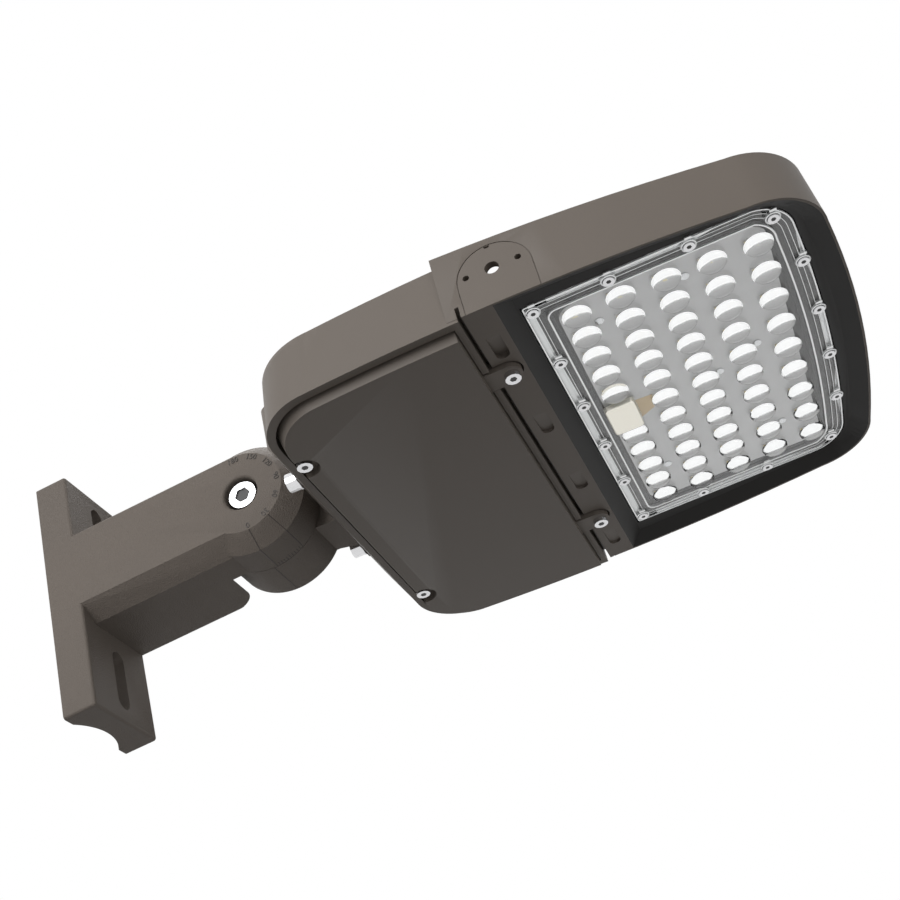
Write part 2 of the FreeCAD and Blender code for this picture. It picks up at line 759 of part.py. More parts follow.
def lens_outline(inset, grow="0"):
    """The lens plate's outline, drawn in by the inset."""
    inset = f"({inset})"
    side, corner_y = f"lens_half_width - {inset} + {grow}", f"lens_corner_y - {inset} + {grow}"
    edge_x, edge_y = f"lens_edge_x - {inset} + {grow}", f"lens_edge_y - {inset} * 0.6"
    radius = f"lens_corner_radius - {inset} * 0.5"
    x0 = f"lens_x0 + {inset} - {grow}"
    return [(x0, f"-({side})"), ("lens_corner_x", f"-({corner_y})", radius),
            (edge_x, f"-({edge_y})", "lens_edge_radius"), (edge_x, edge_y, radius),
            ("lens_corner_x", corner_y), (x0, side)]


def lens_screw_places():
    """Sixteen screws round the lens plate's border."""
    back_x, side_y = size("lens_x0 + lens_screw_edge"), size("lens_half_width - lens_screw_margin")
    first, pitch = size("lens_x0 + lens_screw_first"), size("lens_screw_pitch")
    places = [(back_x, side_y), (first, side_y), (first + pitch, side_y),
              (first + 2 * pitch, side_y - size("lens_screw_turn"))]
    for y in (size("lens_screw_wide"), size("lens_screw_narrow")):
        bulge = (size("lens_edge_y") ** 2 - y ** 2) / (2 * size("lens_edge_radius"))
        places += [(back_x, y), (size("lens_edge_x - lens_screw_nose") + bulge, y)]
    return [(x, side * y) for side in (-1, 1) for x, y in places]


def cover_screw_places():
    """Two screws near the nose side of the driver cover and two at its rear edge."""
    front = (size(TAB_SCREW_X), size("cover_front_screw_y"))
    rear = (size("cover_rear_screw_x"), size("cover_rear_screw_y"))
    return [(x, side * y) for x, y in (front, rear) for side in (-1, 1)]


def board_screw_places():
    """Six small screws that hold the lamp board down: (column, share of the board's half width)."""
    first, step = size("board_x0 + board_screw_x"), size("lamp_column_pitch")
    half = size("board_half_width")
    spread = ((0, -0.80), (0, 0.67), (2, -0.86), (2, 0.0), (3, 0.70), (3, -0.11))
    return [(first + step * column, half * share) for column, share in spread]


def driver_screw_places():
    """Two screws through each of the driver's end flanges."""
    near_x = size("driver_x + driver_screw_inset")
    far_x = size("driver_x + driver_width - driver_screw_inset")
    low_y, high_y = size("driver_y - driver_flange / 2"), size("driver_y + driver_length + driver_flange / 2")
    return [(x, y) for x in (near_x, far_x) for y in (low_y, high_y)]


def lamp_places():
    """Five columns of lamps.  The first is split about the connector."""
    x0, step = size("lamp_x0"), size("lamp_column_pitch")
    gap, pitch = size("lamp_gap"), size("lamp_pitch")
    places = []
    for index in range(5):
        y = gap / 2 + pitch * index
        places += [(x0, -y), (x0, y)]
    long_row = 2 * (gap / 2 + pitch * 4) + size("lamp_spread")
    for column, count in enumerate((11, 11, 10, 9), start=1):
        row = long_row - 2 * (column - 1) * size("lamp_taper")
        for index in range(count):
            places.append((x0 + column * step, (index / (count - 1) - 0.5) * row))
    return places


# ---------------------------------------------------------------- head housing

def housing():
    """Driver compartment and finned lamp tray: one casting."""
    body = new_body("housing")
    low = new_sketch(body, "XY_Plane", ("0", "0", "rear_rim_z"))
    draw_outline(low, rear_outline(GAP_START, "0"))
    high = new_sketch(body, "XY_Plane", ("0", "0", "rear_top_z + roof_crown"))
    draw_outline(high, rear_outline(GAP_START, "0", "rear_lean", "-rear_top_reach",
                                    ("rear_top_flat", "rear_top_corner_x", "rear_top_radius")))
    loft(body, low, high)
    # the rear wall swells out to carry the knuckle, and falls back to the rim below it
    top_z = "rear_top_z + roof_crown"
    boss = new_sketch(body, "XY_Plane", ("0", "0", "rear_rim_z"))
    wide, turn = "boss_half_width", "boss_round"
    draw_outline(boss, [
        ("boss_x", f"-{wide} + {turn}", turn), (f"boss_x + {turn}", f"-{wide}"),
        ("rear_x + 12", f"-{wide}"), ("rear_x + 12", wide), (f"boss_x + {turn}", wide, turn),
        ("boss_x", f"{wide} - {turn}")])
    pad(body, boss, f"{top_z} - rear_rim_z")
    slope = new_sketch(body, "XZ_Plane")
    draw_outline(slope, [("boss_x - 1", "rear_rim_z - 1"), ("rear_x", "rear_rim_z - 1"),
                         ("rear_x", "rear_rim_z"), ("boss_x", "boss_low_z"), ("boss_x - 1", "boss_low_z")])
    pocket(body, slope, "boss_half_width * 3", both_ways=True)
    # the flange's seat, sunk into the boss
    seat = new_sketch(body, "YZ_Plane", ("0", "0", SEAT_X))
    wide = f"({FLANGE_HALF} + boss_seat_fit)"
    draw_outline(seat, rectangle(f"-{wide}", "flange_bottom - boss_seat_fit", wide, f"{top_z} + 9"))
    pocket(body, seat, "flange_x")
    # roof: a raised spine behind the knuckle, falling away to the side walls
    for side in ("", "-"):
        roof = new_sketch(body, "YZ_Plane")
        outer = f"{side}(roof_half_width + 20)"
        draw_outline(roof, [
            (f"{side}spine_half", top_z), (f"{side}spine_foot", "rear_top_z + 1"),
            (f"{side}roof_half_width", "rear_top_z"), (outer, "rear_top_z"), (outer, f"{top_z} + 9"),
            (f"{side}spine_half", f"{top_z} + 9")])
        pocket(body, roof, "step_x * 2", backwards=True)

    low = new_sketch(body, "XY_Plane", ("0", "0", "rim_z"))
    draw_outline(low, front_outline("step_x", "0"))
    high = new_sketch(body, "XY_Plane", ("0", "0", "front_top_z + 1"))
    draw_outline(high, front_outline("step_x", "0", "front_lean"))
    loft(body, low, high)

    # the lamp half's tray, open above, with its fins and its falling top edge
    tray = new_sketch(body, "XY_Plane", ("0", "0", "tray_floor_z"))
    draw_outline(tray, front_outline("tray_x0", "wall", "front_lean"))
    pocket(body, tray, "front_top_z - tray_floor_z + 2", backwards=True)
    fin = new_sketch(body, "XY_Plane", ("0", "0", "tray_floor_z - 1"))
    draw_outline(fin, rectangle("fin_x0", "-fin_thick / 2 - fin_pitch * (fin_count - 1) / 2",
                                "fin_x1", "fin_thick / 2 - fin_pitch * (fin_count - 1) / 2"))
    first = pad(body, fin, "front_top_z - tray_floor_z + 1")
    DOC.recompute()
    row = body.newObject("PartDesign::LinearPattern", "housing_fins")
    row.Originals = [first]
    row.Direction = (fin, ["V_Axis"])
    bind(row, "Length", "fin_pitch * (fin_count - 1)")
    bind(row, "Occurrences", "fin_count")
    body.Tip = row
    fall = new_sketch(body, "XZ_Plane")
    nose = "nose_edge_x + 9"
    draw_outline(fall, [("step_x - 1", "front_top_z"), (nose, "nose_top_z"), (nose, "front_top_z + 9"),
                        ("step_x - 1", "front_top_z + 9")])
    pocket(body, fall, "step_y * 3", both_ways=True)

    # underside of the driver half: a ledge for the cover, then the bay
    ledge = new_sketch(body, "XY_Plane", ("0", "0", "ledge_z"))
    draw_outline(ledge, rear_outline("strip_x", "cover_lip", back="-rear_lip_cut"))
    pocket(body, ledge, "ledge_z - rear_rim_z + 5")
    bay = new_sketch(body, "XY_Plane", ("0", "0", "bay_top_z"))
    draw_outline(bay, rounded_rectangle("bay_x0", "-bay_half_width", BAY_FRONT, "bay_half_width",
                                        "bay_corner"))
    pocket(body, bay, "bay_top_z - rear_rim_z + 5")
    back = new_sketch(body, "YZ_Plane", ("0", "0", "bay_back_x"))
    draw_outline(back, rectangle("-bay_back_half_width", "bay_back_low_z", "bay_back_half_width",
                                 "bay_top_z"))
    pocket(body, back, "bay_x0 - bay_back_x + 1", backwards=True)
    gap = new_sketch(body, "XY_Plane", ("0", "0", "gap_top_z"))
    draw_outline(gap, rectangle(GAP_START, "-step_y - 9", f"{GAP_START} + gap_width", "step_y + 9"))
    pocket(body, gap, "gap_top_z - rim_z + 5")

    # underside of the lamp half: sloping rim, then the lens seat and the gasket's floor
    low = new_sketch(body, "XY_Plane", ("0", "0", "rim_z"))
    draw_outline(low, front_outline("bar_x1", "rim_width"))
    high = new_sketch(body, "XY_Plane", ("0", "0", "recess_z"))
    draw_outline(high, front_outline("bar_x1 + recess_slope", "rim_width + recess_slope"))
    loft(body, low, high, cut=True)
    land = new_sketch(body, "XY_Plane", ("0", "0", "lens_z + lens_thick"))
    draw_outline(land, lens_outline("0", "lens_fit"))
    pocket(body, land, "lens_thick + 5")
    floor = new_sketch(body, "XY_Plane", ("0", "0", "seat_z"))
    draw_outline(floor, lens_outline("seat_inset"))
    pocket(body, floor, "seat_z - lens_z + 2")

    # half-round beds in the cross bar for the cover's tabs
    for side in ("", "-"):
        bed = new_sketch(body, "XY_Plane", ("0", "0", "cover_tab_z"))
        wide = "(cover_tab_radius + cover_tab_fit)"
        middle = f"{side}cover_front_screw_y"
        draw_outline(bed, [
            ("strip_x - 2", f"{middle} - {wide}"), (TAB_X, f"{middle} - {wide}", wide),
            (f"{TAB_X} + {wide}", f"{middle}", wide), (TAB_X, f"{middle} + {wide}"),
            ("strip_x - 2", f"{middle} + {wide}")])
        pocket(body, bed, "cover_tab_z - rim_z + 5")

    # yoke holes in both side walls
    for at, back in (("step_y + 9", False), ("-step_y + 9", False)):
        side = new_sketch(body, "XZ_Plane", ("0", "0", at))
        draw_circle(side, "side_hole_x", "side_hole_z", "side_hole_radius")
        draw_circle(side, "side_hole_x - side_pin_offset", "side_hole_z", "side_pin_radius")
        draw_circle(side, "side_hole_x + side_pin_offset", "side_hole_z", "side_pin_radius")
        pocket(body, side, "18", backwards=back)

    # wire hole and blind bolt holes in the rear wall
    rear = new_sketch(body, "YZ_Plane", ("0", "0", SEAT_X))
    draw_circle(rear, "wire_bore_offset", "0", "wire_bore_radius")
    pocket(body, rear, f"bay_back_x - {SEAT_X} + 1", backwards=True)
    rear = new_sketch(body, "YZ_Plane", ("0", "0", SEAT_X))
    for side in ("", "-"):
        for level in ("knuckle_bolt_low", "knuckle_bolt_high"):
            draw_circle(rear, f"{side}{BOLT_Y}", level, "knuckle_bolt_radius + 0.1")
    pocket(body, rear, "knuckle_bolt_length - flange_thick - knuckle_gasket_thick", backwards=True)

    # screw holes from below: lens, cover, board and driver
    drilled = new_sketch(body, "XY_Plane", ("0", "0", "lens_z + lens_thick"))
    for x, y in lens_screw_places():
        draw_circle(drilled, str(x), str(y), "lens_screw_radius + 0.1")
    pocket(body, drilled, "lens_screw_length - lens_thick + 1", backwards=True)
    drilled = new_sketch(body, "XY_Plane", ("0", "0", "rim_z"))
    for side in ("", "-"):
        draw_circle(drilled, TAB_SCREW_X, f"{side}cover_front_screw_y", "cover_screw_radius + 0.1")
        draw_circle(drilled, "cover_rear_screw_x", f"{side}cover_rear_screw_y", "cover_screw_radius + 0.1")
    pocket(body, drilled, "cover_screw_length + ledge_z - rim_z", backwards=True)
    drilled = new_sketch(body, "XY_Plane", ("0", "0", "seat_z"))
    for x, y in board_screw_places():
        draw_circle(drilled, str(x), str(y), "board_screw_radius + 0.1")
    pocket(body, drilled, "board_screw_length - board_thick + 0.5", backwards=True)
    drilled = new_sketch(body, "XY_Plane", ("0", "0", "bay_top_z"))
    for x, y in driver_screw_places():
        draw_circle(drilled, str(x), str(y), "driver_screw_radius + 0.1")
    pocket(body, drilled, "driver_screw_length - driver_flange_thick + 0.3", backwards=True)
    return to_head(body)


# ---------------------------------------------------------------- driver cover

def driver_cover():
    """Tray that closes the driver bay, with two tabs that reach over the gap."""
    body = new_body("driver_cover")
    front_x, inset = "strip_x - cover_fit", "cover_lip + cover_fit"
    low = new_sketch(body, "XY_Plane", ("0", "0", "cover_face_z"))
    draw_outline(low, rear_outline(front_x, inset, "cover_lean", "-rear_lip_cut + cover_lean"))
    high = new_sketch(body, "XY_Plane", ("0", "0", COVER_TOP))
    draw_outline(high, rear_outline(front_x, inset, back="-rear_lip_cut"))
    loft(body, low, high)
    for side in ("", "-"):
        tab = new_sketch(body, "XY_Plane", ("0", "0", "cover_tab_z - cover_tab_gap"))
        middle, wide = f"{side}cover_front_screw_y", "cover_tab_radius"
        draw_outline(tab, [
            ("strip_x - 3", f"{middle} - {wide}"), (TAB_X, f"{middle} - {wide}", wide),
            (f"{TAB_X} + {wide}", f"{middle}", wide), (TAB_X, f"{middle} + {wide}"),
            ("strip_x - 3", f"{middle} + {wide}")])
        pad(body, tab, "cover_tab_thick", backwards=True)
    hollow = new_sketch(body, "XY_Plane", ("0", "0", "cover_face_z + cover_thick"))
    draw_outline(hollow, rounded_rectangle("bay_x0 + 2", "-bay_half_width + 2", f"{BAY_FRONT} - 2",
                                           "bay_half_width - 2", "bay_corner"))
    pocket(body, hollow, "cover_thick * 5", backwards=True)
    # sunk pockets and holes for the four screws
    holes = new_sketch(body, "XY_Plane", ("0", "0", "cover_face_z - 3"))
    for side in ("", "-"):
        draw_circle(holes, TAB_SCREW_X, f"{side}cover_front_screw_y", "cover_screw_radius + 0.3")
        draw_circle(holes, "cover_rear_screw_x", f"{side}cover_rear_screw_y", "cover_screw_radius + 0.3")
    pocket(body, holes, "20", backwards=True)
    sunk = new_sketch(body, "XY_Plane", ("0", "0", "cover_pocket_z"))
    for side in ("", "-"):
        draw_circle(sunk, "cover_rear_screw_x", f"{side}cover_rear_screw_y", "cover_pocket_radius")
    pocket(body, sunk, "cover_pocket_z - cover_face_z + 5")
    return to_head(body)


def cover_fixings():
    """Gasket on the ledge and four socket screws."""
    body = new_body("driver_cover_gasket")
    rim = new_sketch(body, "XY_Plane", ("0", "0", "ledge_z"))
    draw_outline(rim, rounded_rectangle("bay_x0 - cover_gasket_width", "-bay_half_width - 1.5",
                                        f"{BAY_FRONT} + cover_gasket_width", "bay_half_width + 1.5",
                                        "bay_corner + 1"))
    pad(body, rim, "cover_gasket_thick", backwards=True)
    inner = new_sketch(body, "XY_Plane", ("0", "0", "ledge_z"))
    draw_outline(inner, rounded_rectangle("bay_x0", "-bay_half_width", BAY_FRONT, "bay_half_width",
                                          "bay_corner"))
    pocket(body, inner, "cover_gasket_thick * 2")
    to_head(body)

    up = Vector(0, 0, 1)
    screws = []
    for x, y in cover_screw_places():
        front = x > size("strip_x")
        seat = size("cover_tab_z - cover_tab_gap - cover_tab_thick") if front else size("cover_pocket_z")
        length = size("ledge_z + cover_screw_length") - seat - 1.0
        screw = small_screw(Vector(x, y, seat), up, size("cover_screw_radius"), length,
                            size("cover_screw_head_radius"), size("cover_screw_head_height"))
        low = Vector(x, y, seat - size("cover_screw_head_height"))
        screws.append(screw.cut(prism(6, size("cover_screw_hex"), size("cover_screw_hex") / 2, low, up)))
    shape_node("cover_screws", Part.makeCompound(screws))


# ---------------------------------------------------------------- lens and lamp board

def oval_ring(long, short, level):
    """A flat many-sided oval, its half axes along X and Y."""
    turns = [2 * math.pi * k / DOME_SIDES for k in range(DOME_SIDES + 1)]
    return Part.makePolygon([Vector(long * math.cos(turn), short * math.sin(turn), level) for turn in turns])


def lens_plate():
    """Clear plate with a raised middle panel and a dome over each lamp."""
    body = new_body("lens_plate_blank")
    edge = new_sketch(body, "XY_Plane", ("0", "0", "lens_z"))
    draw_outline(edge, lens_outline("0"))
    pad(body, edge, "lens_thick")
    panel = new_sketch(body, "XY_Plane", ("0", "0", "lens_z"))
    draw_outline(panel, lens_outline("panel_inset"))
    pad(body, panel, "panel_rise", backwards=True)
    DOC.recompute()

    face = size("lens_z - panel_rise")
    long, short, tall = size("dome_long"), size("dome_short"), size("dome_height")
    levels = [(1.0, 0.0), (0.86, 0.6), (0.5, 1.0)]
    rings = [oval_ring(long * share, short * share, -tall * drop) for share, drop in levels]
    dome = Part.makeLoft(rings, True, True)
    domes = []
    for x, y in lamp_places():
        copy = dome.copy()
        copy.translate(Vector(x + size("dome_shift"), y, face))
        domes.append(copy)
    up, hole = Vector(0, 0, 1), 2 * size("lens_screw_radius") + 0.4
    holes = [prism(8, hole, size("lens_thick"), Vector(x, y, size("lens_z")), up)
             for x, y in lens_screw_places()]
    shape_node("lens_plate", body.Shape.fuse(domes).cut(holes).removeSplitter())


def lens_fixings():
    """Gasket in its groove and sixteen screws."""
    body = new_body("lens_gasket")
    outer = new_sketch(body, "XY_Plane", ("0", "0", "seat_z"))
    draw_outline(outer, lens_outline("seat_inset + 0.2"))
    pad(body, outer, "seat_z - lens_z - lens_thick", backwards=True)
    inner = new_sketch(body, "XY_Plane", ("0", "0", "seat_z"))
    draw_outline(inner, lens_outline("seat_inset + 0.2 + lens_gasket_width"))
    pocket(body, inner, "lens_thick * 2")
    to_head(body)

    up = Vector(0, 0, 1)
    screws = [small_screw(Vector(x, y, size("lens_z")), up, size("lens_screw_radius"),
                          size("lens_screw_length"), size("lens_screw_head_radius"),
                          size("lens_screw_head_height")) for x, y in lens_screw_places()]
    shape_node("lens_screws", Part.makeCompound(screws))


def lamp_board():
    """Metal-core board, its lamps, its connector and its screws."""
    body = new_body("led_board")
    flat = new_sketch(body, "XY_Plane", ("0", "0", "seat_z"))
    draw_outline(flat, rounded_rectangle("board_x0", "-board_half_width", "board_x1",
                                         "board_half_width", "board_corner"))
    pad(body, flat, "board_thick", backwards=True)
    drilled = new_sketch(body, "XY_Plane", ("0", "0", "seat_z"))
    for x, y in board_screw_places():
        draw_circle(drilled, str(x), str(y), "board_screw_radius + 0.2")
    pocket(body, drilled, "board_thick * 2")
    to_head(body)

    face = size("seat_z - board_thick")
    screws = [small_screw(Vector(x, y, face), Vector(0, 0, 1), size("board_screw_radius"),
                          size("board_screw_length"), size("board_screw_head_radius"),
                          size("board_screw_head_height")) for x, y in board_screw_places()]
    shape_node("board_screws", Part.makeCompound(screws))
    side, thick = size("lamp_size"), size("lamp_thick")
    lamps = [Part.makeBox(side, side, thick, Vector(x - side / 2, y - side / 2, face - thick))
             for x, y in lamp_places()]
    shape_node("led_packages", Part.makeCompound(lamps))
    long, wide, tall = (size("connector_" + name) for name in ("length", "width", "height"))
    block = Part.makeBox(long, wide, tall, Vector(size("lamp_x0") - 3, -wide / 2, face - tall))
    shape_node("board_connector", block)


def driver_pieces():
    """Driver on its two end flanges with their screws, and the pieces wired to it."""
    x0, y0 = size("driver_x"), size("driver_y")
    wide, long, tall = size("driver_width"), size("driver_length"), size("driver_height")
    top, flange, thin = size("bay_top_z"), size("driver_flange"), size("driver_flange_thick")
    case = Part.makeBox(wide, long, tall, Vector(x0, y0, top - tall))
    case = case.makeFillet(2.5, [e for e in case.Edges if near(abs(e.tangentAt(e.FirstParameter).y), 1)
                                 and e.CenterOfMass.z < top - tall / 2])
    feet = Part.makeBox(wide, long + 2 * flange, thin, Vector(x0, y0 - flange, top - thin))
    case = case.fuse(feet)
    up, hole = Vector(0, 0, 1), 2 * size("driver_screw_radius") + 0.4
    screws = []
    for x, y in driver_screw_places():
        case = case.cut(prism(SHANK_SIDES, hole, thin, Vector(x, y, top - thin), up))
        screws.append(small_screw(Vector(x, y, top - thin), up, size("driver_screw_radius"),
                                  size("driver_screw_length"), size("driver_screw_head_radius"),
                                  size("driver_screw_head_height")))
    shape_node("led_driver", case.removeSplitter())
    shape_node("driver_screws", Part.makeCompound(screws))

    surge_x, surge_y, surge_z = (size("surge_" + name) for name in ("width", "length", "height"))
    block_x, block_y, block_z = (size("block_" + name) for name in ("width", "length", "height"))
    spare = flange + size("block_gap")
    surge = Part.makeBox(surge_x, surge_y, surge_z,
                         Vector(x0 + size("surge_inset"), y0 - spare - surge_y, top - surge_z))
    surge = surge.makeFillet(2, [e for e in surge.Edges if near(abs(e.tangentAt(e.FirstParameter).z), 1)])
    shape_node("surge_protector", surge)
    corner = Vector(x0 + size("block_inset"), y0 + long + spare, top - block_z)
    block = Part.makeBox(block_x, block_y, block_z, corner)
    pitch = size("block_hole_pitch")
    for index in (-1, 0, 1):
        middle = corner + Vector(block_x / 2 + pitch * index, block_y / 2, 0)
        block = block.cut(prism(SCREW_SIDES, 2 * size("block_hole_radius"), size("block_hole_depth"),
                                middle, up))
    shape_node("terminal_block", block)


# ---------------------------------------------------------------- build

def check_and_export():
    DOC.recompute()
    for thing in DOC.Objects:
        if "Invalid" in thing.State or "Error" in thing.State:
            raise ValueError(f"{thing.Label} failed: {thing.State}")
    os.makedirs("parts", exist_ok=True)
    for node in NODES:
        shape = node.Shape
        if shape.isNull() or not shape.isValid():
            raise ValueError(f"{node.Label} has no valid shape")
        print(f"{node.Label}: {len(shape.Solids)} solids, {shape.Volume / 1000:.2f} cm3")
        shape.exportStep(f"parts/{node.Label}.step")


fill_sheet()
arm_bracket()
pivot_hardware()
knuckle()
knuckle_fixings()
housing()
driver_cover()
cover_fixings()
lens_plate()
lens_fixings()
lamp_board()
driver_pieces()
check_and_export()
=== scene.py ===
import math

import bmesh
import bpy
import numpy as np
from mathutils import Matrix, Vector


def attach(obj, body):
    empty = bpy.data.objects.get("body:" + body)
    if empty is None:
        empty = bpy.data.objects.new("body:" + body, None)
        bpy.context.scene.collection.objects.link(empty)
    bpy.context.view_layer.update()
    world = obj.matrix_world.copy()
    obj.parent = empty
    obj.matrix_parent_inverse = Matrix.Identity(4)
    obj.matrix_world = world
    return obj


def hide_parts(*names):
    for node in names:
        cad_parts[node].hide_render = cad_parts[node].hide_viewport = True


# Shoebox area light.  Metres.  Pieces of the head are drawn level about the tilt pivot, then turned.
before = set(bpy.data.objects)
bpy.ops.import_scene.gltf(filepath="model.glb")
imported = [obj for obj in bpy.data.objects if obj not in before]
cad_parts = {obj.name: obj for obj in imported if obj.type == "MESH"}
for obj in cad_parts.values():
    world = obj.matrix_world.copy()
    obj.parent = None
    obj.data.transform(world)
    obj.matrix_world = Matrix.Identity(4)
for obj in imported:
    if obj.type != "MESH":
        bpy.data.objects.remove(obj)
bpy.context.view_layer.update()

PIVOT = np.array([0.1225, 0.0, 0.0075])
DROOP = math.radians(3.75)

# The tilting joint, millimetres about the pivot.
NEAR_FACE = -30.0
BARREL = 33.5
COUNTERBORE = 9.8
MOUTH_ROUND = 1.8

# The lamp half's side wall: an arc on its lower rim from back to front, drawn in towards the top.
RIM = -33.0
WALL_BACK = (153.8, 127.3)
WALL_FRONT = (295.0, 118.3)
WALL_RADIUS = 1014.0
WALL_HEIGHT = 42.0
WALL_DRAFT = 1.2
YOKE_X, YOKE_Z = 181.6, -16.2

# The cross bar's pockets.
POCKET_X = 168.7
POCKET_HALF = 3.4
POCKET_LENGTH = 18.0

# The lens plate: its border's face, its raised panel's face and its outline.
BORDER = -27.2
FACE = -28.0
LENS_BACK_X = 185.4
LENS_SIDE = 109.4
LENS_SIDE_FRONT = (296.0, 108.6)
LENS_NOSE = (313.2, 90.0)
LENS_NOSE_RADIUS = 950.0
LENS_CORNER_RADIUS = 21.0
PANEL_INSET, PANEL_CORNER = 9.5, 5.0
DOME_LONG, DOME_SHORT, DOME_HEIGHT = 7.3, 7.5, 4.0
DOME_SHIFT = 2.7

# The lamps in their columns.
FIRST_COLUMN = 204.2
COLUMN_PITCH = 22.1


# ---------------------------------------------------------------- shader groups

def new_group(name, inputs, outputs):
    """An empty node group with its sockets.  A socket is (name, type, default)."""
    group = bpy.data.node_groups.new(name, "ShaderNodeTree")
    for title, kind, start in inputs:
        socket = group.interface.new_socket(title, in_out="INPUT", socket_type=kind)
        socket.default_value = start
    for title, kind in outputs:
        group.interface.new_socket(title, in_out="OUTPUT", socket_type=kind)
    return group, group.nodes.new("NodeGroupInput"), group.nodes.new("NodeGroupOutput")


def join(tree, source, target):
    tree.links.new(source, target)


def math_node(tree, operation, first, second=0.0):
    """One Math node.  Each input is a number or a socket."""
    node = tree.nodes.new("ShaderNodeMath")
    node.operation = operation
    for socket, value in zip(node.inputs, (first, second)):
        if isinstance(value, (int, float)):
            socket.default_value = value
        else:
            tree.links.new(value, socket)
    return node.outputs[0]


def noise(tree, vector, scale, detail, roughness=0.5):
    node = tree.nodes.new("ShaderNodeTexNoise")
    node.inputs["Detail"].default_value = detail
    node.inputs["Roughness"].default_value = roughness
    if isinstance(scale, (int, float)):
        node.inputs["Scale"].default_value = scale
    else:
        tree.links.new(scale, node.inputs["Scale"])
    tree.links.new(vector, node.inputs["Vector"])
    return node.outputs["Fac"]


def powder_coat_group():
    """Baked powder: close pimples, a slow waviness, and a faint drift of tone."""
    group, inlet, outlet = new_group(
        "powder_coat",
        [("Colour", "NodeSocketColor", (0.1, 0.1, 0.1, 1)), ("Pimple size", "NodeSocketFloat", 900.0),
         ("Depth", "NodeSocketFloat", 0.4), ("Tone drift", "NodeSocketFloat", 0.12),
         ("Roughness", "NodeSocketFloat", 0.5)],
        [("Colour", "NodeSocketColor"), ("Roughness", "NodeSocketFloat"), ("Height", "NodeSocketFloat")])
    place = group.nodes.new("ShaderNodeTexCoord").outputs["Object"]
    fine = noise(group, place, inlet.outputs["Pimple size"], 3.0, 0.6)
    slow = noise(group, place, 60.0, 2.0)
    blotch = noise(group, place, 14.0, 3.0)
    height = math_node(group, "ADD", fine, math_node(group, "MULTIPLY", slow, 0.35))
    join(group, math_node(group, "MULTIPLY", height, inlet.outputs["Depth"]), outlet.inputs["Height"])
    tone = math_node(group, "ADD", math_node(group, "MULTIPLY", fine, 0.45),
                     math_node(group, "MULTIPLY", blotch, 0.55))
    shift = math_node(group, "MULTIPLY", math_node(group, "SUBTRACT", tone, 0.5), inlet.outputs["Tone drift"])
    bright = group.nodes.new("ShaderNodeHueSaturation")
    value = math_node(group, "ADD", math_node(group, "MULTIPLY", shift, 2.0), 1.0)
    join(group, value, bright.inputs["Value"])
    join(group, inlet.outputs["Colour"], bright.inputs["Color"])
    join(group, bright.outputs[0], outlet.inputs["Colour"])
    rough = math_node(group, "ADD", inlet.outputs["Roughness"], shift)
    join(group, rough, outlet.inputs["Roughness"])
    return group


def brushed_group():
    """Turned or rolled steel: fine streaks along one axis, and a few darker specks."""
    group, inlet, outlet = new_group(
        "worked_steel",
        [("Colour", "NodeSocketColor", (0.6, 0.6, 0.6, 1)), ("Roughness", "NodeSocketFloat", 0.25),
         ("Streaks", "NodeSocketFloat", 0.1)],
        [("Colour", "NodeSocketColor"), ("Roughness", "NodeSocketFloat"), ("Height", "NodeSocketFloat")])
    place = group.nodes.new("ShaderNodeTexCoord").outputs["Object"]
    stretch = group.nodes.new("ShaderNodeMapping")
    stretch.inputs["Scale"].default_value = (400.0, 400.0, 6000.0)
    join(group, place, stretch.inputs["Vector"])
    streak = noise(group, stretch.outputs[0], 1.0, 2.0)
    specks = noise(group, place, 1500.0, 2.0)
    mix = group.nodes.new("ShaderNodeHueSaturation")
    dark = math_node(group, "MULTIPLY", math_node(group, "SUBTRACT", streak, 0.5), inlet.outputs["Streaks"])
    join(group, math_node(group, "ADD", math_node(group, "MULTIPLY", dark, 2.0), 1.0), mix.inputs["Value"])
    join(group, inlet.outputs["Colour"], mix.inputs["Color"])
    join(group, mix.outputs[0], outlet.inputs["Colour"])
    join(group, math_node(group, "ADD", inlet.outputs["Roughness"], dark), outlet.inputs["Roughness"])
    join(group, math_node(group, "MULTIPLY", specks, inlet.outputs["Streaks"]), outlet.inputs["Height"])
    return group


POWDER = powder_coat_group()
WORKED = brushed_group()


def base_material(name, colour, roughness, **settings):
    """A Principled material.  Settings are socket names with underscores for spaces."""
    made = bpy.data.materials.new(name)
    made.use_nodes = True
    shader = made.node_tree.nodes["Principled BSDF"]
    shader.inputs["Base Color"].default_value = (*colour, 1)
    shader.inputs["Roughness"].default_value = roughness
    for key, value in settings.items():
        shader.inputs[key.replace("_", " ")].default_value = value
    return made, made.node_tree, shader


def with_group(made, tree, shader, group, values, bump):
    """Put a surface group in front of the shader: its colour, roughness and bump."""
    node = tree.nodes.new("ShaderNodeGroup")
    node.node_tree = group
    for key, value in values.items():
        node.inputs[key].default_value = value
    join(tree, node.outputs["Colour"], shader.inputs["Base Color"])
    join(tree, node.outputs["Roughness"], shader.inputs["Roughness"])
    if bump:
        lift = tree.nodes.new("ShaderNodeBump")
        lift.inputs["Distance"].default_value = bump
        join(tree, node.outputs["Height"], lift.inputs["Height"])
        join(tree, lift.outputs[0], shader.inputs["Normal"])
    return made


def powder_coat(name, colour, roughness, pimples, depth, drift, bump=0.0003, **settings):
    made, tree, shader = base_material(name, colour, roughness, **settings)
    values = {"Colour": (*colour, 1), "Pimple size": pimples, "Depth": depth, "Tone drift": drift,
              "Roughness": roughness}
    return with_group(made, tree, shader, POWDER, values, bump)


def steel(name, colour, roughness, streaks):
    made, tree, shader = base_material(name, colour, roughness, Metallic=1.0)
    values = {"Colour": (*colour, 1), "Roughness": roughness, "Streaks": streaks}
    return with_group(made, tree, shader, WORKED, values, 0.00002)


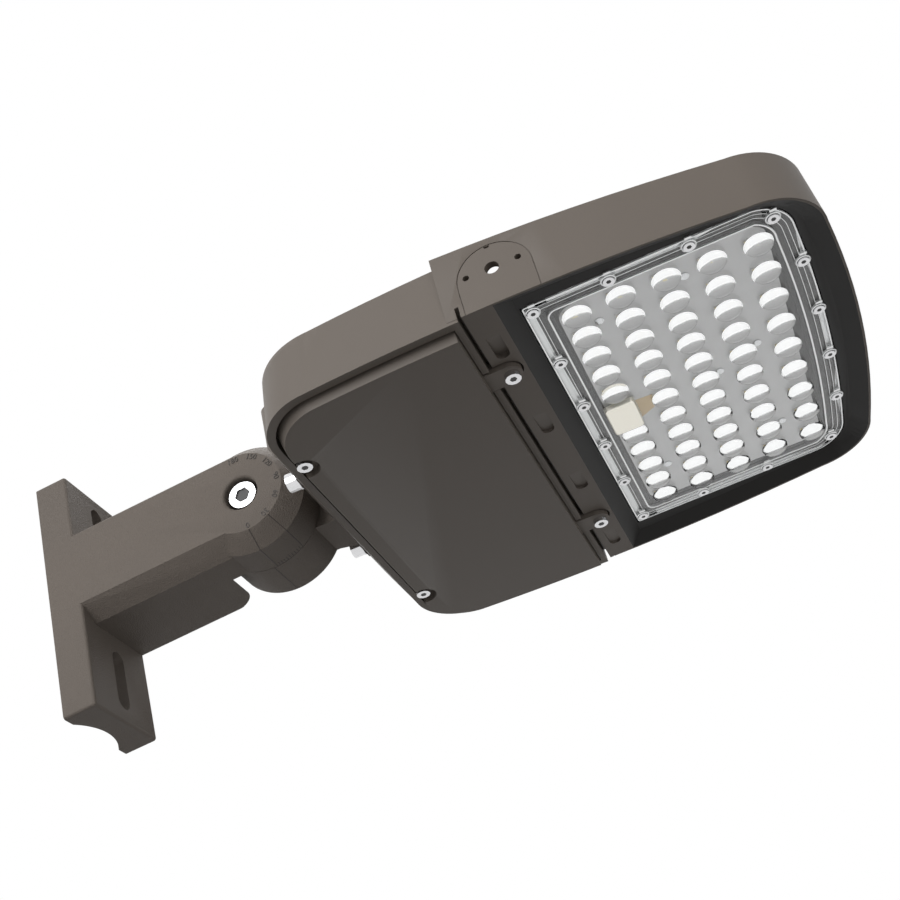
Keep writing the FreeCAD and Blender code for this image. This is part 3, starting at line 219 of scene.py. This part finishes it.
BRACKET = powder_coat("bracket_powder", (0.155, 0.131, 0.111), 0.62, 1300.0, 1.0, 0.3, 0.0005,
                      Specular_IOR_Level=0.35)
HEAD = powder_coat("head_powder", (0.158, 0.135, 0.115), 0.5, 2200.0, 0.35, 0.1, 0.0002,
                   Specular_IOR_Level=0.3)
# Near black for the faces about the lens: painted shade in the recess round it.
SHADE = powder_coat("recess_painted_shade", (0.012, 0.011, 0.01), 0.5, 2200.0, 0.3, 0.1, 0.0002,
                    Specular_IOR_Level=0.2)
STEEL = steel("screw_steel", (0.66, 0.66, 0.67), 0.24, 0.12)
ZINC = steel("bolt_zinc", (0.72, 0.72, 0.73), 0.3, 0.18)
# Darker than the bracket for the tilt scale's raised marks: painted shade for their shaded edges.
SCALE_SHADE = powder_coat("scale_painted_shade", (0.05, 0.042, 0.036), 0.6, 1300.0, 0.6, 0.2, 0.0003)
# Near black for flat hexagons in and on the screw heads: painted shade of their key sockets.
SOCKET_SHADE = powder_coat("socket_painted_shade", (0.035, 0.034, 0.033), 0.5, 1500.0, 0.4, 0.1, 0.0001)
SEAL = powder_coat("seal_rubber", (0.02, 0.02, 0.021), 0.75, 800.0, 0.4, 0.2, 0.0002)
BLACK = powder_coat("black_case", (0.025, 0.025, 0.027), 0.5, 1200.0, 0.4, 0.1, 0.0002)
DRIVER = steel("driver_case", (0.6, 0.61, 0.62), 0.42, 0.15)
MASK = powder_coat("board_mask", (0.7, 0.69, 0.69), 0.35, 300.0, 0.2, 0.06, 0.00005)
IVORY = powder_coat("connector_ivory", (0.9, 0.88, 0.8), 0.4, 700.0, 0.2, 0.04, 0.00005)
PHOSPHOR = powder_coat("lamp_phosphor", (0.86, 0.72, 0.32), 0.35, 2500.0, 0.4, 0.12, 0.00005)
CERAMIC = powder_coat("lamp_ceramic", (0.85, 0.84, 0.8), 0.35, 2000.0, 0.2, 0.04, 0.00005)
FROST = powder_coat("lens_frost", (0.9, 0.91, 0.91), 0.3, 900.0, 0.2, 0.05, 0.00003, Metallic=0.65)
CREAM = powder_coat("hood_cream", (0.95, 0.92, 0.82), 0.3, 900.0, 0.2, 0.05, 0.00003, Metallic=0.75)
TAN = powder_coat("film_tan", (0.7, 0.5, 0.24), 0.35, 700.0, 0.2, 0.08, 0.00003)


def clear_material():
    made, tree, shader = base_material("lens_clear", (0.97, 0.98, 0.98), 0.03)
    shader.inputs["Transmission Weight"].default_value = 1.0
    shader.inputs["IOR"].default_value = 1.49
    place = tree.nodes.new("ShaderNodeTexCoord").outputs["Object"]
    wave = noise(tree, place, 160.0, 2.0)
    lift = tree.nodes.new("ShaderNodeBump")
    lift.inputs["Distance"].default_value = 0.00006
    join(tree, wave, lift.inputs["Height"])
    join(tree, lift.outputs[0], shader.inputs["Normal"])
    rough = math_node(tree, "ADD", math_node(tree, "MULTIPLY", noise(tree, place, 40.0, 3.0), 0.05), 0.01)
    join(tree, rough, shader.inputs["Roughness"])
    return made


CLEAR = clear_material()


# ---------------------------------------------------------------- mesh helpers

def to_row(points):
    """Head points, millimetres about the pivot, turned by the droop into the row frame in metres."""
    points = np.asarray(points, float) * 0.001
    c, s = math.cos(DROOP), math.sin(DROOP)
    turned = np.stack([points[..., 0] * c + points[..., 2] * s, points[..., 1],
                       points[..., 2] * c - points[..., 0] * s], axis=-1)
    return turned + PIVOT


def arm_points(points):
    """Arm points, millimetres about the pivot, into the row frame in metres."""
    return np.asarray(points, float) * 0.001 + PIVOT


def grid_faces(rows, columns, close_rows=False, close_columns=False):
    """Quads of a grid of points numbered row by row."""
    last_row = rows if close_rows else rows - 1
    last_column = columns if close_columns else columns - 1
    r, c = np.meshgrid(np.arange(last_row), np.arange(last_column), indexing="ij")
    nr, nc = (r + 1) % rows, (c + 1) % columns
    faces = np.stack([r * columns + c, nr * columns + c, nr * columns + nc, r * columns + nc], axis=-1)
    return faces.reshape(-1, 4)


def piece(name, points, faces, material, body="head", smooth=35.0, replaces=()):
    """One finished piece: its mesh, its smooth faces with sharp edges, its body and its material."""
    mesh = bpy.data.meshes.new(name)
    mesh.from_pydata(np.asarray(points).reshape(-1, 3).tolist(), [], [list(map(int, f)) for f in faces])
    mesh.validate()
    mesh.shade_smooth()
    mesh.set_sharp_from_angle(angle=math.radians(smooth))
    for one in material if isinstance(material, (list, tuple)) else [material]:
        mesh.materials.append(one)
    thing = bpy.data.objects.new(name, mesh)
    bpy.context.scene.collection.objects.link(thing)
    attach(thing, body)
    if replaces:
        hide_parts(*replaces)
    return thing


def loose(name, points, faces):
    """A closed mesh that only cuts or joins others."""
    mesh = bpy.data.meshes.new(name)
    mesh.from_pydata(np.asarray(points).reshape(-1, 3).tolist(), [], [list(map(int, f)) for f in faces])
    shape = bmesh.new()
    shape.from_mesh(mesh)
    bmesh.ops.recalc_face_normals(shape, faces=shape.faces)
    shape.to_mesh(mesh)
    shape.free()
    thing = bpy.data.objects.new(name, mesh)
    bpy.context.scene.collection.objects.link(thing)
    return thing


def combine(thing, other, operation="DIFFERENCE"):
    """Cut the other solid out of the thing, or join it on, and drop the other."""
    step = thing.modifiers.new("combine", "BOOLEAN")
    step.operation = operation
    step.solver = "EXACT"
    step.object = other
    done = thing.evaluated_get(bpy.context.evaluated_depsgraph_get())
    mesh = bpy.data.meshes.new_from_object(done)
    thing.modifiers.clear()
    thing.data = mesh
    bpy.data.objects.remove(other)


def stack(parts):
    """Several (points, faces) lists as one."""
    points, faces, start = [], [], 0
    for some_points, some_faces in parts:
        some_points = np.asarray(some_points, float).reshape(-1, 3)
        points.append(some_points)
        faces += [[start + int(i) for i in face] for face in some_faces]
        start += len(some_points)
    return np.concatenate(points), faces


def copies(points, faces, offsets):
    """The small mesh once at each offset."""
    return stack([(np.asarray(points) + np.asarray(offset, float), faces) for offset in offsets])


def prism(outline, low, high):
    """A prism over an (x, y) outline.  Low and high are levels, or one level per point."""
    outline = np.asarray(outline, float)
    count = len(outline)
    ends = [np.column_stack([outline, np.broadcast_to(level, count)]) for level in (low, high)]
    ring = [[i, (i + 1) % count, (i + 1) % count + count, i + count] for i in range(count)]
    return np.concatenate(ends), [list(range(count))[::-1], list(range(count, 2 * count))] + ring


def block(x0, x1, y0, y1, z0, z1):
    return prism([(x0, y0), (x1, y0), (x1, y1), (x0, y1)], z0, z1)


def revolved(profile, around, closed=False):
    """A profile of (radius, height) turned about Z.  Open profiles are capped flat at both ends."""
    profile = np.asarray(profile, float)
    angle = np.linspace(0, 2 * math.pi, around, endpoint=False)
    flat = profile[:, None, :1] * np.stack([np.cos(angle), np.sin(angle)], axis=-1)[None]
    level = np.repeat(profile[:, None, 1:], around, axis=1)
    points = np.concatenate([flat, level], axis=-1).reshape(-1, 3)
    faces = grid_faces(len(profile), around, close_rows=closed, close_columns=True).tolist()
    if not closed:
        last = (len(profile) - 1) * around
        faces += [list(range(around))[::-1], list(range(last, last + around))]
    return points, faces


def arc(start, end, radius, steps):
    """Points of the short arc from start to end, counter-clockwise, without its end."""
    start, end = np.asarray(start, float), np.asarray(end, float)
    middle, across = (start + end) / 2, end - start
    half = np.hypot(*across) / 2
    centre = middle + np.array([-across[1], across[0]]) / (2 * half) * math.sqrt(radius ** 2 - half ** 2)
    first = math.atan2(*(start - centre)[::-1])
    turn = 2 * math.asin(half / radius)
    angles = first + turn * np.linspace(0, 1, steps, endpoint=False)
    return centre + radius * np.stack([np.cos(angles), np.sin(angles)], axis=-1)


def casting(node, name, material, edge, body="head", cutters=(), shade=None):
    """A copy of a CAD casting with its doubles merged, its cuts made and its edges eased.

    Shade is a second material and a test of a face's middle and normal that says where it goes.
    """
    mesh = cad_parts[node].data.copy()
    mesh.materials.clear()
    shape = bmesh.new()
    shape.from_mesh(mesh)
    bmesh.ops.remove_doubles(shape, verts=shape.verts, dist=2e-6)
    bmesh.ops.dissolve_limit(shape, angle_limit=math.radians(0.6), verts=shape.verts, edges=shape.edges)
    shape.to_mesh(mesh)
    shape.free()
    thing = bpy.data.objects.new(name, mesh)
    bpy.context.scene.collection.objects.link(thing)
    for points, faces in cutters:
        combine(thing, loose("cutter", points, faces))
    mesh = thing.data
    mesh.name = name
    mesh.materials.append(material)
    if shade:
        mesh.materials.append(shade[0])
        for face in mesh.polygons:
            face.material_index = 1 if shade[1](face.center, face.normal) else 0
    mesh.shade_smooth()
    mesh.set_sharp_from_angle(angle=math.radians(32))
    bevel = thing.modifiers.new("eased_edges", "BEVEL")
    bevel.width = edge
    bevel.segments = 2
    bevel.limit_method = "ANGLE"
    bevel.angle_limit = math.radians(32)
    bevel.harden_normals = True
    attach(thing, body)
    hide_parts(node)
    return thing


# ---------------------------------------------------------------- bracket and knuckle

def to_pivot(points):
    """The points of something turned about Z, laid along Y about the tilt pivot, in metres."""
    points = np.asarray(points, float)
    return arm_points(points[..., [0, 2, 1]] * np.array([1, 1, -1]))


def counterbore_mouth():
    """The round at the mouth of the bolt's recess, as a ring to cut away."""
    spare = 0.2
    inner, outer = COUNTERBORE - spare, COUNTERBORE + MOUTH_ROUND
    level, above = NEAR_FACE + MOUTH_ROUND, NEAR_FACE - spare
    turn = np.linspace(0, math.pi / 2, 7)
    curve = np.stack([outer - MOUTH_ROUND * np.cos(turn), level - MOUTH_ROUND * np.sin(turn)], axis=-1)
    profile = np.concatenate([[(inner, level)], curve, [(outer, above), (inner, above)]])
    points, faces = revolved(profile, 96, closed=True)
    return to_pivot(points), faces


casting("arm_bracket", "bracket_casting", BRACKET, 0.0008, body="bracket", cutters=[counterbore_mouth()])
casting("knuckle", "knuckle_casting", BRACKET, 0.0008)


def raised_number(text, angle, ring=22.0, size=4.6, rise=0.3):
    """One number of the tilt scale: its foot towards the bolt, raised from the near ear's face."""
    curve = bpy.data.curves.new("number", "FONT")
    curve.body = text
    curve.size = size
    curve.align_x = "CENTER"
    curve.align_y = "CENTER"
    curve.extrude = rise
    curve.resolution_u = 4
    holder = bpy.data.objects.new("number", curve)
    bpy.context.scene.collection.objects.link(holder)
    mesh = bpy.data.meshes.new_from_object(holder.evaluated_get(bpy.context.evaluated_depsgraph_get()))
    flat = np.array([corner.co[:] for corner in mesh.vertices])
    faces = [list(face.vertices) for face in mesh.polygons]
    bpy.data.objects.remove(holder)
    turn = math.radians(angle)
    out = np.array([math.cos(turn), 0, math.sin(turn)])
    along = np.array([math.sin(turn), 0, -math.cos(turn)])
    points = ring * out + np.array([0, NEAR_FACE, 0]) + flat[:, :1] * along + flat[:, 1:2] * out
    return points - flat[:, 2:3] * np.array([0, 1.0, 0]), faces


def bar_along(path, normals, width, rise, root=0.3):
    """A thin raised line along a path.  It stands out of the surface by its rise and goes in by its root."""
    path, normals = np.asarray(path, float), np.asarray(normals, float)
    ahead = np.gradient(path, axis=0)
    side = np.cross(ahead, normals)
    side /= np.linalg.norm(side, axis=1)[:, None]
    rows = [path - side * width / 2 - normals * root, path - side * width / 2 + normals * rise * 0.5,
            path + normals * rise, path + side * width / 2 + normals * rise * 0.5,
            path + side * width / 2 - normals * root]
    points = np.stack(rows, axis=1).reshape(-1, 3)
    faces = grid_faces(len(path), 5, close_columns=True).tolist()
    last = (len(path) - 1) * 5
    return points, faces + [list(range(5))[::-1], list(range(last, last + 5))]


def scale_line(angle, stations):
    """A raised line across the joint at one angle.  Stations are (radius, y)."""
    turn = math.radians(angle)
    out = np.array([math.cos(turn), 0, math.sin(turn)])
    stations = np.asarray(stations, float)
    path = stations[:, :1] * out + stations[:, 1:2] * np.array([0, 1.0, 0])
    steps = np.gradient(stations, axis=0)
    normals = steps[:, 1:2] * out - steps[:, :1] * np.array([0, 1.0, 0])
    normals /= np.linalg.norm(normals, axis=1)[:, None]
    return bar_along(path, normals, width=0.45, rise=0.22)


def tilt_scale():
    """Numbers every 30 degrees, two long lines and the ticks between them, coloured dark as painted shade."""
    marks = [raised_number(str(number), number - 90) for number in range(0, 181, 30)]
    cone = [(24.7, -29.9), (29.1, -25.2), (BARREL - 0.05, -20.5)]
    barrel = [(BARREL, -20.0), (BARREL, -10.0), (BARREL, -0.4)]
    marks += [scale_line(angle, cone + barrel) for angle in (-90, -60)]
    seam = -0.5
    for index in range(1, 10):
        long = 3.6 if index == 5 else 2.4
        stations = [(BARREL, seam - long), (BARREL, seam - long / 2), (BARREL, seam)]
        marks.append(scale_line(-90 + 3 * index, stations))
    points, faces = stack(marks)
    piece("tilt_scale", arm_points(points), faces, SCALE_SHADE, body="bracket", smooth=25)
    points, faces = scale_line(-90, [(BARREL, -seam), (BARREL, 14.0), (BARREL, 28.0)])
    piece("tilt_index", to_row(points), faces, SCALE_SHADE, smooth=25)


tilt_scale()


# ---------------------------------------------------------------- head castings

def side_y(x):
    """Half the lamp half's width at x, on its lower rim."""
    curve = arc(WALL_FRONT, WALL_BACK, WALL_RADIUS, 40)[::-1]
    return np.interp(x, curve[:, 0], curve[:, 1])


def wall_strip(outline, side, depth):
    """A solid that sinks into one side wall by the depth.  The outline is (x, z) in the wall's plane."""
    outline = np.asarray(outline, float)
    face = side_y(outline[:, 0]) - WALL_DRAFT * (outline[:, 1] - RIM) / WALL_HEIGHT
    points, faces = prism(outline, face - depth, face + 1.0)
    return to_row(points[:, [0, 2, 1]] * np.array([1, side, 1])), faces


def arch_outline():
    """The thin arched groove round the yoke hole."""
    paths = []
    foot = RIM - 0.6
    turn = np.linspace(math.pi, 0, 33)
    for radius in (18.0, 18.5):
        top = np.stack([YOKE_X + radius * np.cos(turn), YOKE_Z + radius * np.sin(turn)], axis=-1)
        paths.append(np.concatenate([[(YOKE_X - radius, foot)], top, [(YOKE_X + radius, foot)]]))
    return np.concatenate([paths[0], paths[1][::-1]])


def bar_pocket(end, depth):
    """A pocket in the cross bar, shallow at one end and round at its deep end."""
    turn = np.linspace(0, math.pi, 9)
    start, shallow = end - POCKET_LENGTH, 0.15
    nose = np.stack([POCKET_X + POCKET_HALF * np.cos(turn),
                     end - POCKET_HALF + POCKET_HALF * np.sin(turn)], axis=-1)
    outline = np.concatenate([[(POCKET_X - POCKET_HALF, start), (POCKET_X + POCKET_HALF, start)], nose])
    top = RIM + shallow + depth * (outline[:, 1] - start) / POCKET_LENGTH
    points, faces = prism(outline, RIM - 3.0, top)
    return to_row(points), faces


def head_cutters():
    """The arch and the half-round notch over it in both side walls, and the four pockets of the cross bar."""
    cuts = [wall_strip(arch_outline(), side, 0.45) for side in (-1, 1)]
    turn = np.linspace(math.pi, 2 * math.pi, 9)
    radius, notch_z = 1.7, 1.9
    notch = np.stack([YOKE_X + radius * np.cos(turn), notch_z + radius * np.sin(turn)], axis=-1)
    cuts += [wall_strip(notch, side, 1.4) for side in (-1, 1)]
    pockets = ((-88, 3.2), (-18, 1.6), (44, 1.6), (113.5, 1.2))
    return cuts + [bar_pocket(end, depth) for end, depth in pockets]


def in_recess(centre, normal):
    """True on the faces about the lens, which are coloured near black as painted shade in the recess."""
    x, y, z = to_head(centre)
    from_middle = x - 250.0
    outwards = normal.x * from_middle + normal.y * y > 0.3 * math.hypot(from_middle, y)
    within = 176.2 < x < 335.0 and abs(y) < side_y(x) - 0.9
    return within and not outwards and RIM + 0.05 < z < -21.9


def to_head(point):
    """A row point in the head's own millimetres."""
    x, y, z = (np.array(point) - PIVOT) * 1000
    c, s = math.cos(DROOP), math.sin(DROOP)
    return x * c - z * s, y, x * s + z * c


# The faces about the lens take the near-black painted shade of the recess.
casting("housing", "head_casting", HEAD, 0.0004, cutters=head_cutters(), shade=(SHADE, in_recess))
casting("driver_cover", "cover_casting", HEAD, 0.0009)


# ---------------------------------------------------------------- lens

def lens_screw_places():
    """Eight screws a side.  Those at the nose follow its bulge."""
    back, edge = 189.5, 104.1
    nose_x, nose_y = LENS_NOSE
    half = [(back, edge), (226.8, edge), (265.7, edge), (304.6, 98.6)]
    for wide in (61.0, 20.3):
        bulge = (nose_y ** 2 - wide ** 2) / (2 * LENS_NOSE_RADIUS)
        half += [(back, wide), (nose_x - 2.6 + bulge, wide)]
    return [(x, side * y, 0) for side in (-1, 1) for x, y in half]


def lamp_places():
    """Five columns of lamps.  The first is split about the connector."""
    nearest, pitch = 20.75, 17.2
    places = [(FIRST_COLUMN, side * (nearest + pitch * index), 0) for index in range(5) for side in (-1, 1)]
    for column, count in enumerate((11, 11, 10, 9), start=1):
        half = (180.0 - 3.0 * (column - 1)) / 2
        places += [(FIRST_COLUMN + COLUMN_PITCH * column, y, 0) for y in np.linspace(-half, half, count)]
    return places


def lens_curve(inset, corner=0.0):
    """The lens plate's outline drawn in by the inset, its two back corners rounded."""
    side, back = LENS_SIDE - inset, LENS_BACK_X + inset
    front_x, front_y = LENS_SIDE_FRONT[0], LENS_SIDE_FRONT[1] - inset
    nose_x, nose_y = LENS_NOSE[0] - inset, LENS_NOSE[1] - 0.6 * inset
    radius = LENS_CORNER_RADIUS - 0.5 * inset
    parts = [arc((front_x, -front_y), (nose_x, -nose_y), radius, 14),
             arc((nose_x, -nose_y), (nose_x, nose_y), LENS_NOSE_RADIUS, 24),
             arc((nose_x, nose_y), (front_x, front_y), radius, 14), [(front_x, front_y)]]
    if corner:
        parts += [arc((back + corner, side), (back, side - corner), corner, 7), [(back, side - corner)],
                  arc((back, -side + corner), (back + corner, -side), corner, 7), [(back + corner, -side)]]
    else:
        parts += [[(back, side), (back, -side)]]
    return np.concatenate([np.asarray(part) for part in parts])


def ridge(curve, width, rise):
    """A thin raised line on the plate's face along a closed curve."""
    ahead = np.roll(curve, -1, axis=0) - np.roll(curve, 1, axis=0)
    out = np.stack([ahead[:, 1], -ahead[:, 0]], axis=-1)
    out /= np.linalg.norm(out, axis=1)[:, None]
    foot, top = BORDER + 0.1, BORDER - rise
    rows = [np.column_stack([curve + out * width * share, np.full(len(curve), level)])
            for share, level in ((0.5, foot), (0.42, top), (-0.42, top), (-0.5, foot))]
    return np.stack(rows, axis=1), grid_faces(len(curve), 4, close_rows=True, close_columns=True)


def dome(around=40, rings=9):
    """One lamp's lens: a quarter of an ellipse turned to a low oval bubble, its foot a little way in."""
    turn = np.linspace(0, math.pi / 2, rings, endpoint=False)
    curve = [(math.cos(t), -DOME_HEIGHT * math.sin(t)) for t in turn]
    points, faces = revolved([(1.0, 0.4)] + curve + [(0.03, -DOME_HEIGHT)], around)
    return points * np.array([DOME_LONG, DOME_SHORT, 1.0]) + np.array([DOME_SHIFT, 0, FACE]), faces


def lens_shape():
    """The plate with its panel, domes, corner notches and screw holes, in head millimetres."""
    thing = loose("lens", *prism(lens_curve(0.0), BORDER, -24.75))
    combine(thing, loose("panel", *prism(lens_curve(PANEL_INSET, PANEL_CORNER), FACE, -26.0)), "UNION")
    combine(thing, loose("domes", *copies(*dome(), lamp_places())), "UNION")
    notches = [block(184, 197.5, side * 112, side * 105.5, -30, -24) for side in (-1, 1)]
    notches.append(block(300.5, 320, -112, -102, -30, -24))
    notches.append(block(300.5, 320, 102, 112, -30, -24))
    combine(thing, loose("notches", *stack(notches)))
    hole = revolved([(1.75, -30), (1.75, -24)], 20)
    combine(thing, loose("holes", *copies(*hole, lens_screw_places())))
    return thing


def on_border(x, y):
    """True outside the raised panel."""
    return x < 195.2 or abs(y) > 99.2 or x > lens_curve(PANEL_INSET, PANEL_CORNER)[:, 0].max() - 1.0


def lens():
    """The clear plate, frosted on the back of its border."""
    thing = lens_shape()
    mesh = thing.data
    mesh.materials.clear()
    mesh.materials.append(CLEAR)
    mesh.materials.append(FROST)
    for face in mesh.polygons:
        frosted = face.normal.z > 0.9 and on_border(*face.center[:2])
        face.material_index = 1 if frosted else 0
    flat = np.array([corner.co[:] for corner in mesh.vertices])
    mesh.vertices.foreach_set("co", to_row(flat).astype(np.float32).ravel())
    mesh.update()
    mesh.shade_smooth()
    mesh.set_sharp_from_angle(angle=math.radians(40))
    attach(thing, "head")
    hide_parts("lens_plate")


def lens_border():
    """The ridges round the lens, and a pale cup with its stop at each screw."""
    ridges = ((0.5, 1.0, 0.8, 0.5), (3.1, 2.0, 0.35, 0.2), (5.6, 3.0, 0.35, 0.2), (9.3, 5.0, 1.0, 0.9))
    lines = [ridge(lens_curve(inset, corner), width, rise) for inset, corner, width, rise in ridges]
    points, faces = stack(lines)
    piece("lens_ridges", to_row(points), faces, FROST, smooth=40)
    foot = BORDER + 0.05
    cup = [(2.9, foot), (3.9, foot), (3.8, -28.2), (3.4, -28.5), (2.95, -28.2)]
    points, faces = copies(*revolved(cup, 28, closed=True), lens_screw_places())
    piece("lens_cups", to_row(points), faces, FROST, smooth=40)
    points, faces = copies(*block(-0.9, 2.5, -6.15, -4.65, -28.3, foot), lens_screw_places())
    piece("lens_stops", to_row(points), faces, FROST)


def rounded_box(x0, x1, y0, y1, corner):
    """A rectangle's outline with round corners."""
    corners = [((x1 - corner, y0), (x1, y0 + corner)), ((x1, y1 - corner), (x1 - corner, y1)),
               ((x0 + corner, y1), (x0, y1 - corner)), ((x0, y0 + corner), (x0 + corner, y0))]
    parts = [np.concatenate([arc(start, end, corner, 5), [end]]) for start, end in corners]
    return np.concatenate(parts)


def connector_hood():
    """The raised rectangle of the lens plate that covers the wires' connector."""
    parts = []
    back, front, half, corner = 197.5, 214.0, 12.3, 2.2
    for inset, level in ((0.0, -27.9), (0.15, -30.4), (0.5, -31.0), (1.1, -31.2)):
        outline = rounded_box(back + inset, front - inset, inset - half, half - inset, corner - inset)
        parts.append(np.column_stack([outline, np.full(len(outline), level)]))
    count = len(parts[0])
    last = (len(parts) - 1) * count
    faces = grid_faces(len(parts), count, close_columns=True).tolist() + [list(range(last, last + count))]
    piece("connector_hood", to_row(np.stack(parts)), faces, CREAM, smooth=50)


lens()
lens_border()
connector_hood()


# ---------------------------------------------------------------- lamps and board

def lamp_pieces():
    """Each lamp: a pale square with four phosphor pads.  The connector sits on a tan film."""
    half_base, half_pad, pad_middle = 3.3, 1.4, 1.55
    base = block(-half_base, half_base, -half_base, half_base, -24.2, -23.61)
    points, faces = copies(*base, lamp_places())
    piece("lamp_bases", to_row(points), faces, CERAMIC, replaces=("led_packages",))
    pads = [block(x - half_pad, x + half_pad, y - half_pad, y + half_pad, -24.32, -24.15)
            for x in (-pad_middle, pad_middle) for y in (-pad_middle, pad_middle)]
    points, faces = copies(*stack(pads), lamp_places())
    piece("lamp_pads", to_row(points), faces, PHOSPHOR)
    film = [(195.5, -6.0), (224.0, -3.5), (226.0, 0.0), (225.0, 6.0), (214.0, 12.0), (199.0, 12.0)]
    points, faces = prism(film, -23.72, -23.6)
    piece("connector_film", to_row(points), faces, TAN)


lamp_pieces()


# ---------------------------------------------------------------- painted shade in the screws' sockets

def hexagon(across, low, high, twist=0.2):
    """A six-sided prism, measured across its flats."""
    turn = np.linspace(0, 2 * math.pi, 6, endpoint=False) + twist
    corner_radius = across / math.sqrt(3)
    return prism(corner_radius * np.stack([np.cos(turn), np.sin(turn)], axis=-1), low, high)


def screw_faces(node):
    """The middle of each screw's outer face, in head millimetres."""
    shape = bmesh.new()
    shape.from_mesh(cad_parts[node].data)
    bmesh.ops.remove_doubles(shape, verts=shape.verts, dist=2e-6)
    seen, places = set(), []
    for start in shape.verts:
        if start in seen:
            continue
        seen.add(start)
        screw = [start]
        for corner in screw:
            for edge in corner.link_edges:
                far = edge.other_vert(corner)
                if far not in seen:
                    seen.add(far)
                    screw.append(far)
        points = np.array([to_head(corner.co) for corner in screw])
        low = points[:, 2].min()
        middle = points[points[:, 2] < low + 0.05][:, :2].mean(axis=0)
        places.append([*middle, low])
    shape.free()
    return places


def sockets():
    """Dark hexagons of painted shade for the key sockets of the pivot bolt and of the small screws."""
    face = min(corner.co.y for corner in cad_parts["pivot_bolt"].data.vertices) * 1000
    points, faces = hexagon(7.9, face + 1.0, face + 1.2)
    piece("bolt_socket_shade", to_pivot(points), faces, SOCKET_SHADE, body="bracket")
    for node, across in (("lens_screws", 2.2), ("cover_screws", 3.2)):
        points, faces = copies(*hexagon(across, -0.03, 0.02), screw_faces(node))
        # Flat dark hexagons on the lens and cover screws' heads: painted shade of their sockets.
        piece(node.replace("screws", "sockets"), to_row(points), faces, SOCKET_SHADE)


sockets()


# ---------------------------------------------------------------- CAD nodes that stay

FINISHES = {
    "pivot_bolt": ZINC, "pivot_washer": ZINC, "pivot_spring_washer": ZINC, "pivot_nut": ZINC,
    "knuckle_gasket": SEAL, "knuckle_washers": ZINC, "knuckle_bolts": ZINC,
    "driver_cover_gasket": SEAL, "cover_screws": STEEL, "lens_gasket": SEAL,
    "lens_screws": STEEL, "led_board": MASK, "board_screws": STEEL, "board_connector": IVORY,
    "led_driver": DRIVER, "driver_screws": STEEL, "surge_protector": BLACK, "terminal_block": IVORY,
}
for node, finish in FINISHES.items():
    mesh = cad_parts[node].data
    mesh.materials.clear()
    mesh.materials.append(finish)


# ---------------------------------------------------------------- studio

def seen_directly(tree):
    """1 where the camera, a reflection or clear plastic sees the surroundings, which are white there."""
    path = tree.nodes.new("ShaderNodeLightPath")
    return math_node(tree, "MAXIMUM", path.outputs["Is Camera Ray"],
                     math_node(tree, "MAXIMUM", path.outputs["Is Glossy Ray"],
                               path.outputs["Is Transmission Ray"]))


def studio():
    """Pale floor far below, white surroundings, and the camera where the photograph was taken."""
    scene = bpy.context.scene
    scene.view_settings.view_transform = "Standard"
    world = bpy.data.worlds.new("studio")
    scene.world = world
    world.use_nodes = True
    tree = world.node_tree
    back = tree.nodes["Background"]
    back.inputs["Color"].default_value = (1, 1, 1, 1)
    seen = seen_directly(tree)
    ambient = 0.16
    level = math_node(tree, "ADD", math_node(tree, "MULTIPLY", seen, 1.0 - ambient), ambient)
    join(tree, level, back.inputs["Strength"])

    reach, floor_z = 6.0, -1.1
    corners = [(-reach, -reach, floor_z), (reach, -reach, floor_z), (reach, reach, floor_z),
               (-reach, reach, floor_z)]
    mesh = bpy.data.meshes.new("floor")
    mesh.from_pydata(corners, [], [(0, 1, 2, 3)])
    floor = bpy.data.objects.new("floor", mesh)
    scene.collection.objects.link(floor)
    pale, tree, shader = base_material("floor_pale", (0.22, 0.22, 0.22), 0.9)
    white = tree.nodes.new("ShaderNodeEmission")
    mix = tree.nodes.new("ShaderNodeMixShader")
    join(tree, seen_directly(tree), mix.inputs[0])
    join(tree, shader.outputs[0], mix.inputs[1])
    join(tree, white.outputs[0], mix.inputs[2])
    join(tree, mix.outputs[0], tree.nodes["Material Output"].inputs["Surface"])
    mesh.materials.append(pale)

    target = Vector((0.2, 0.0, 0.0))
    for name, place, watts in (("key", (-0.7, -2.6, 1.0), 62), ("fill", (2.2, -1.6, -0.6), 14),
                               ("top", (0.4, 0.8, 2.4), 30)):
        light = bpy.data.lights.new(name, "AREA")
        light.shape = "SQUARE"
        light.size = 1.6
        light.energy = watts
        thing = bpy.data.objects.new(name, light)
        thing.location = place
        thing.rotation_euler = (target - Vector(place)).to_track_quat("-Z", "Y").to_euler()
        scene.collection.objects.link(thing)

    right = Vector((0.89197, 0.35862, -0.27528))
    down = Vector((-0.43013, 0.48572, -0.76096))
    ahead = Vector((-0.13919, 0.79716, 0.58750))
    turn = Matrix((right, -down, -ahead)).transposed().to_4x4()
    data = bpy.data.cameras.new("camera")
    image_width, focal_pixels = 900.0, 1337.33
    data.sensor_width = 36.0
    data.lens = focal_pixels * data.sensor_width / image_width
    data.clip_start = 0.02
    data.clip_end = 50.0
    camera = bpy.data.objects.new("camera", data)
    camera.matrix_world = Matrix.Translation((0.33434, -0.57700, -0.43110)) @ turn
    scene.collection.objects.link(camera)
    scene.camera = camera


studio()
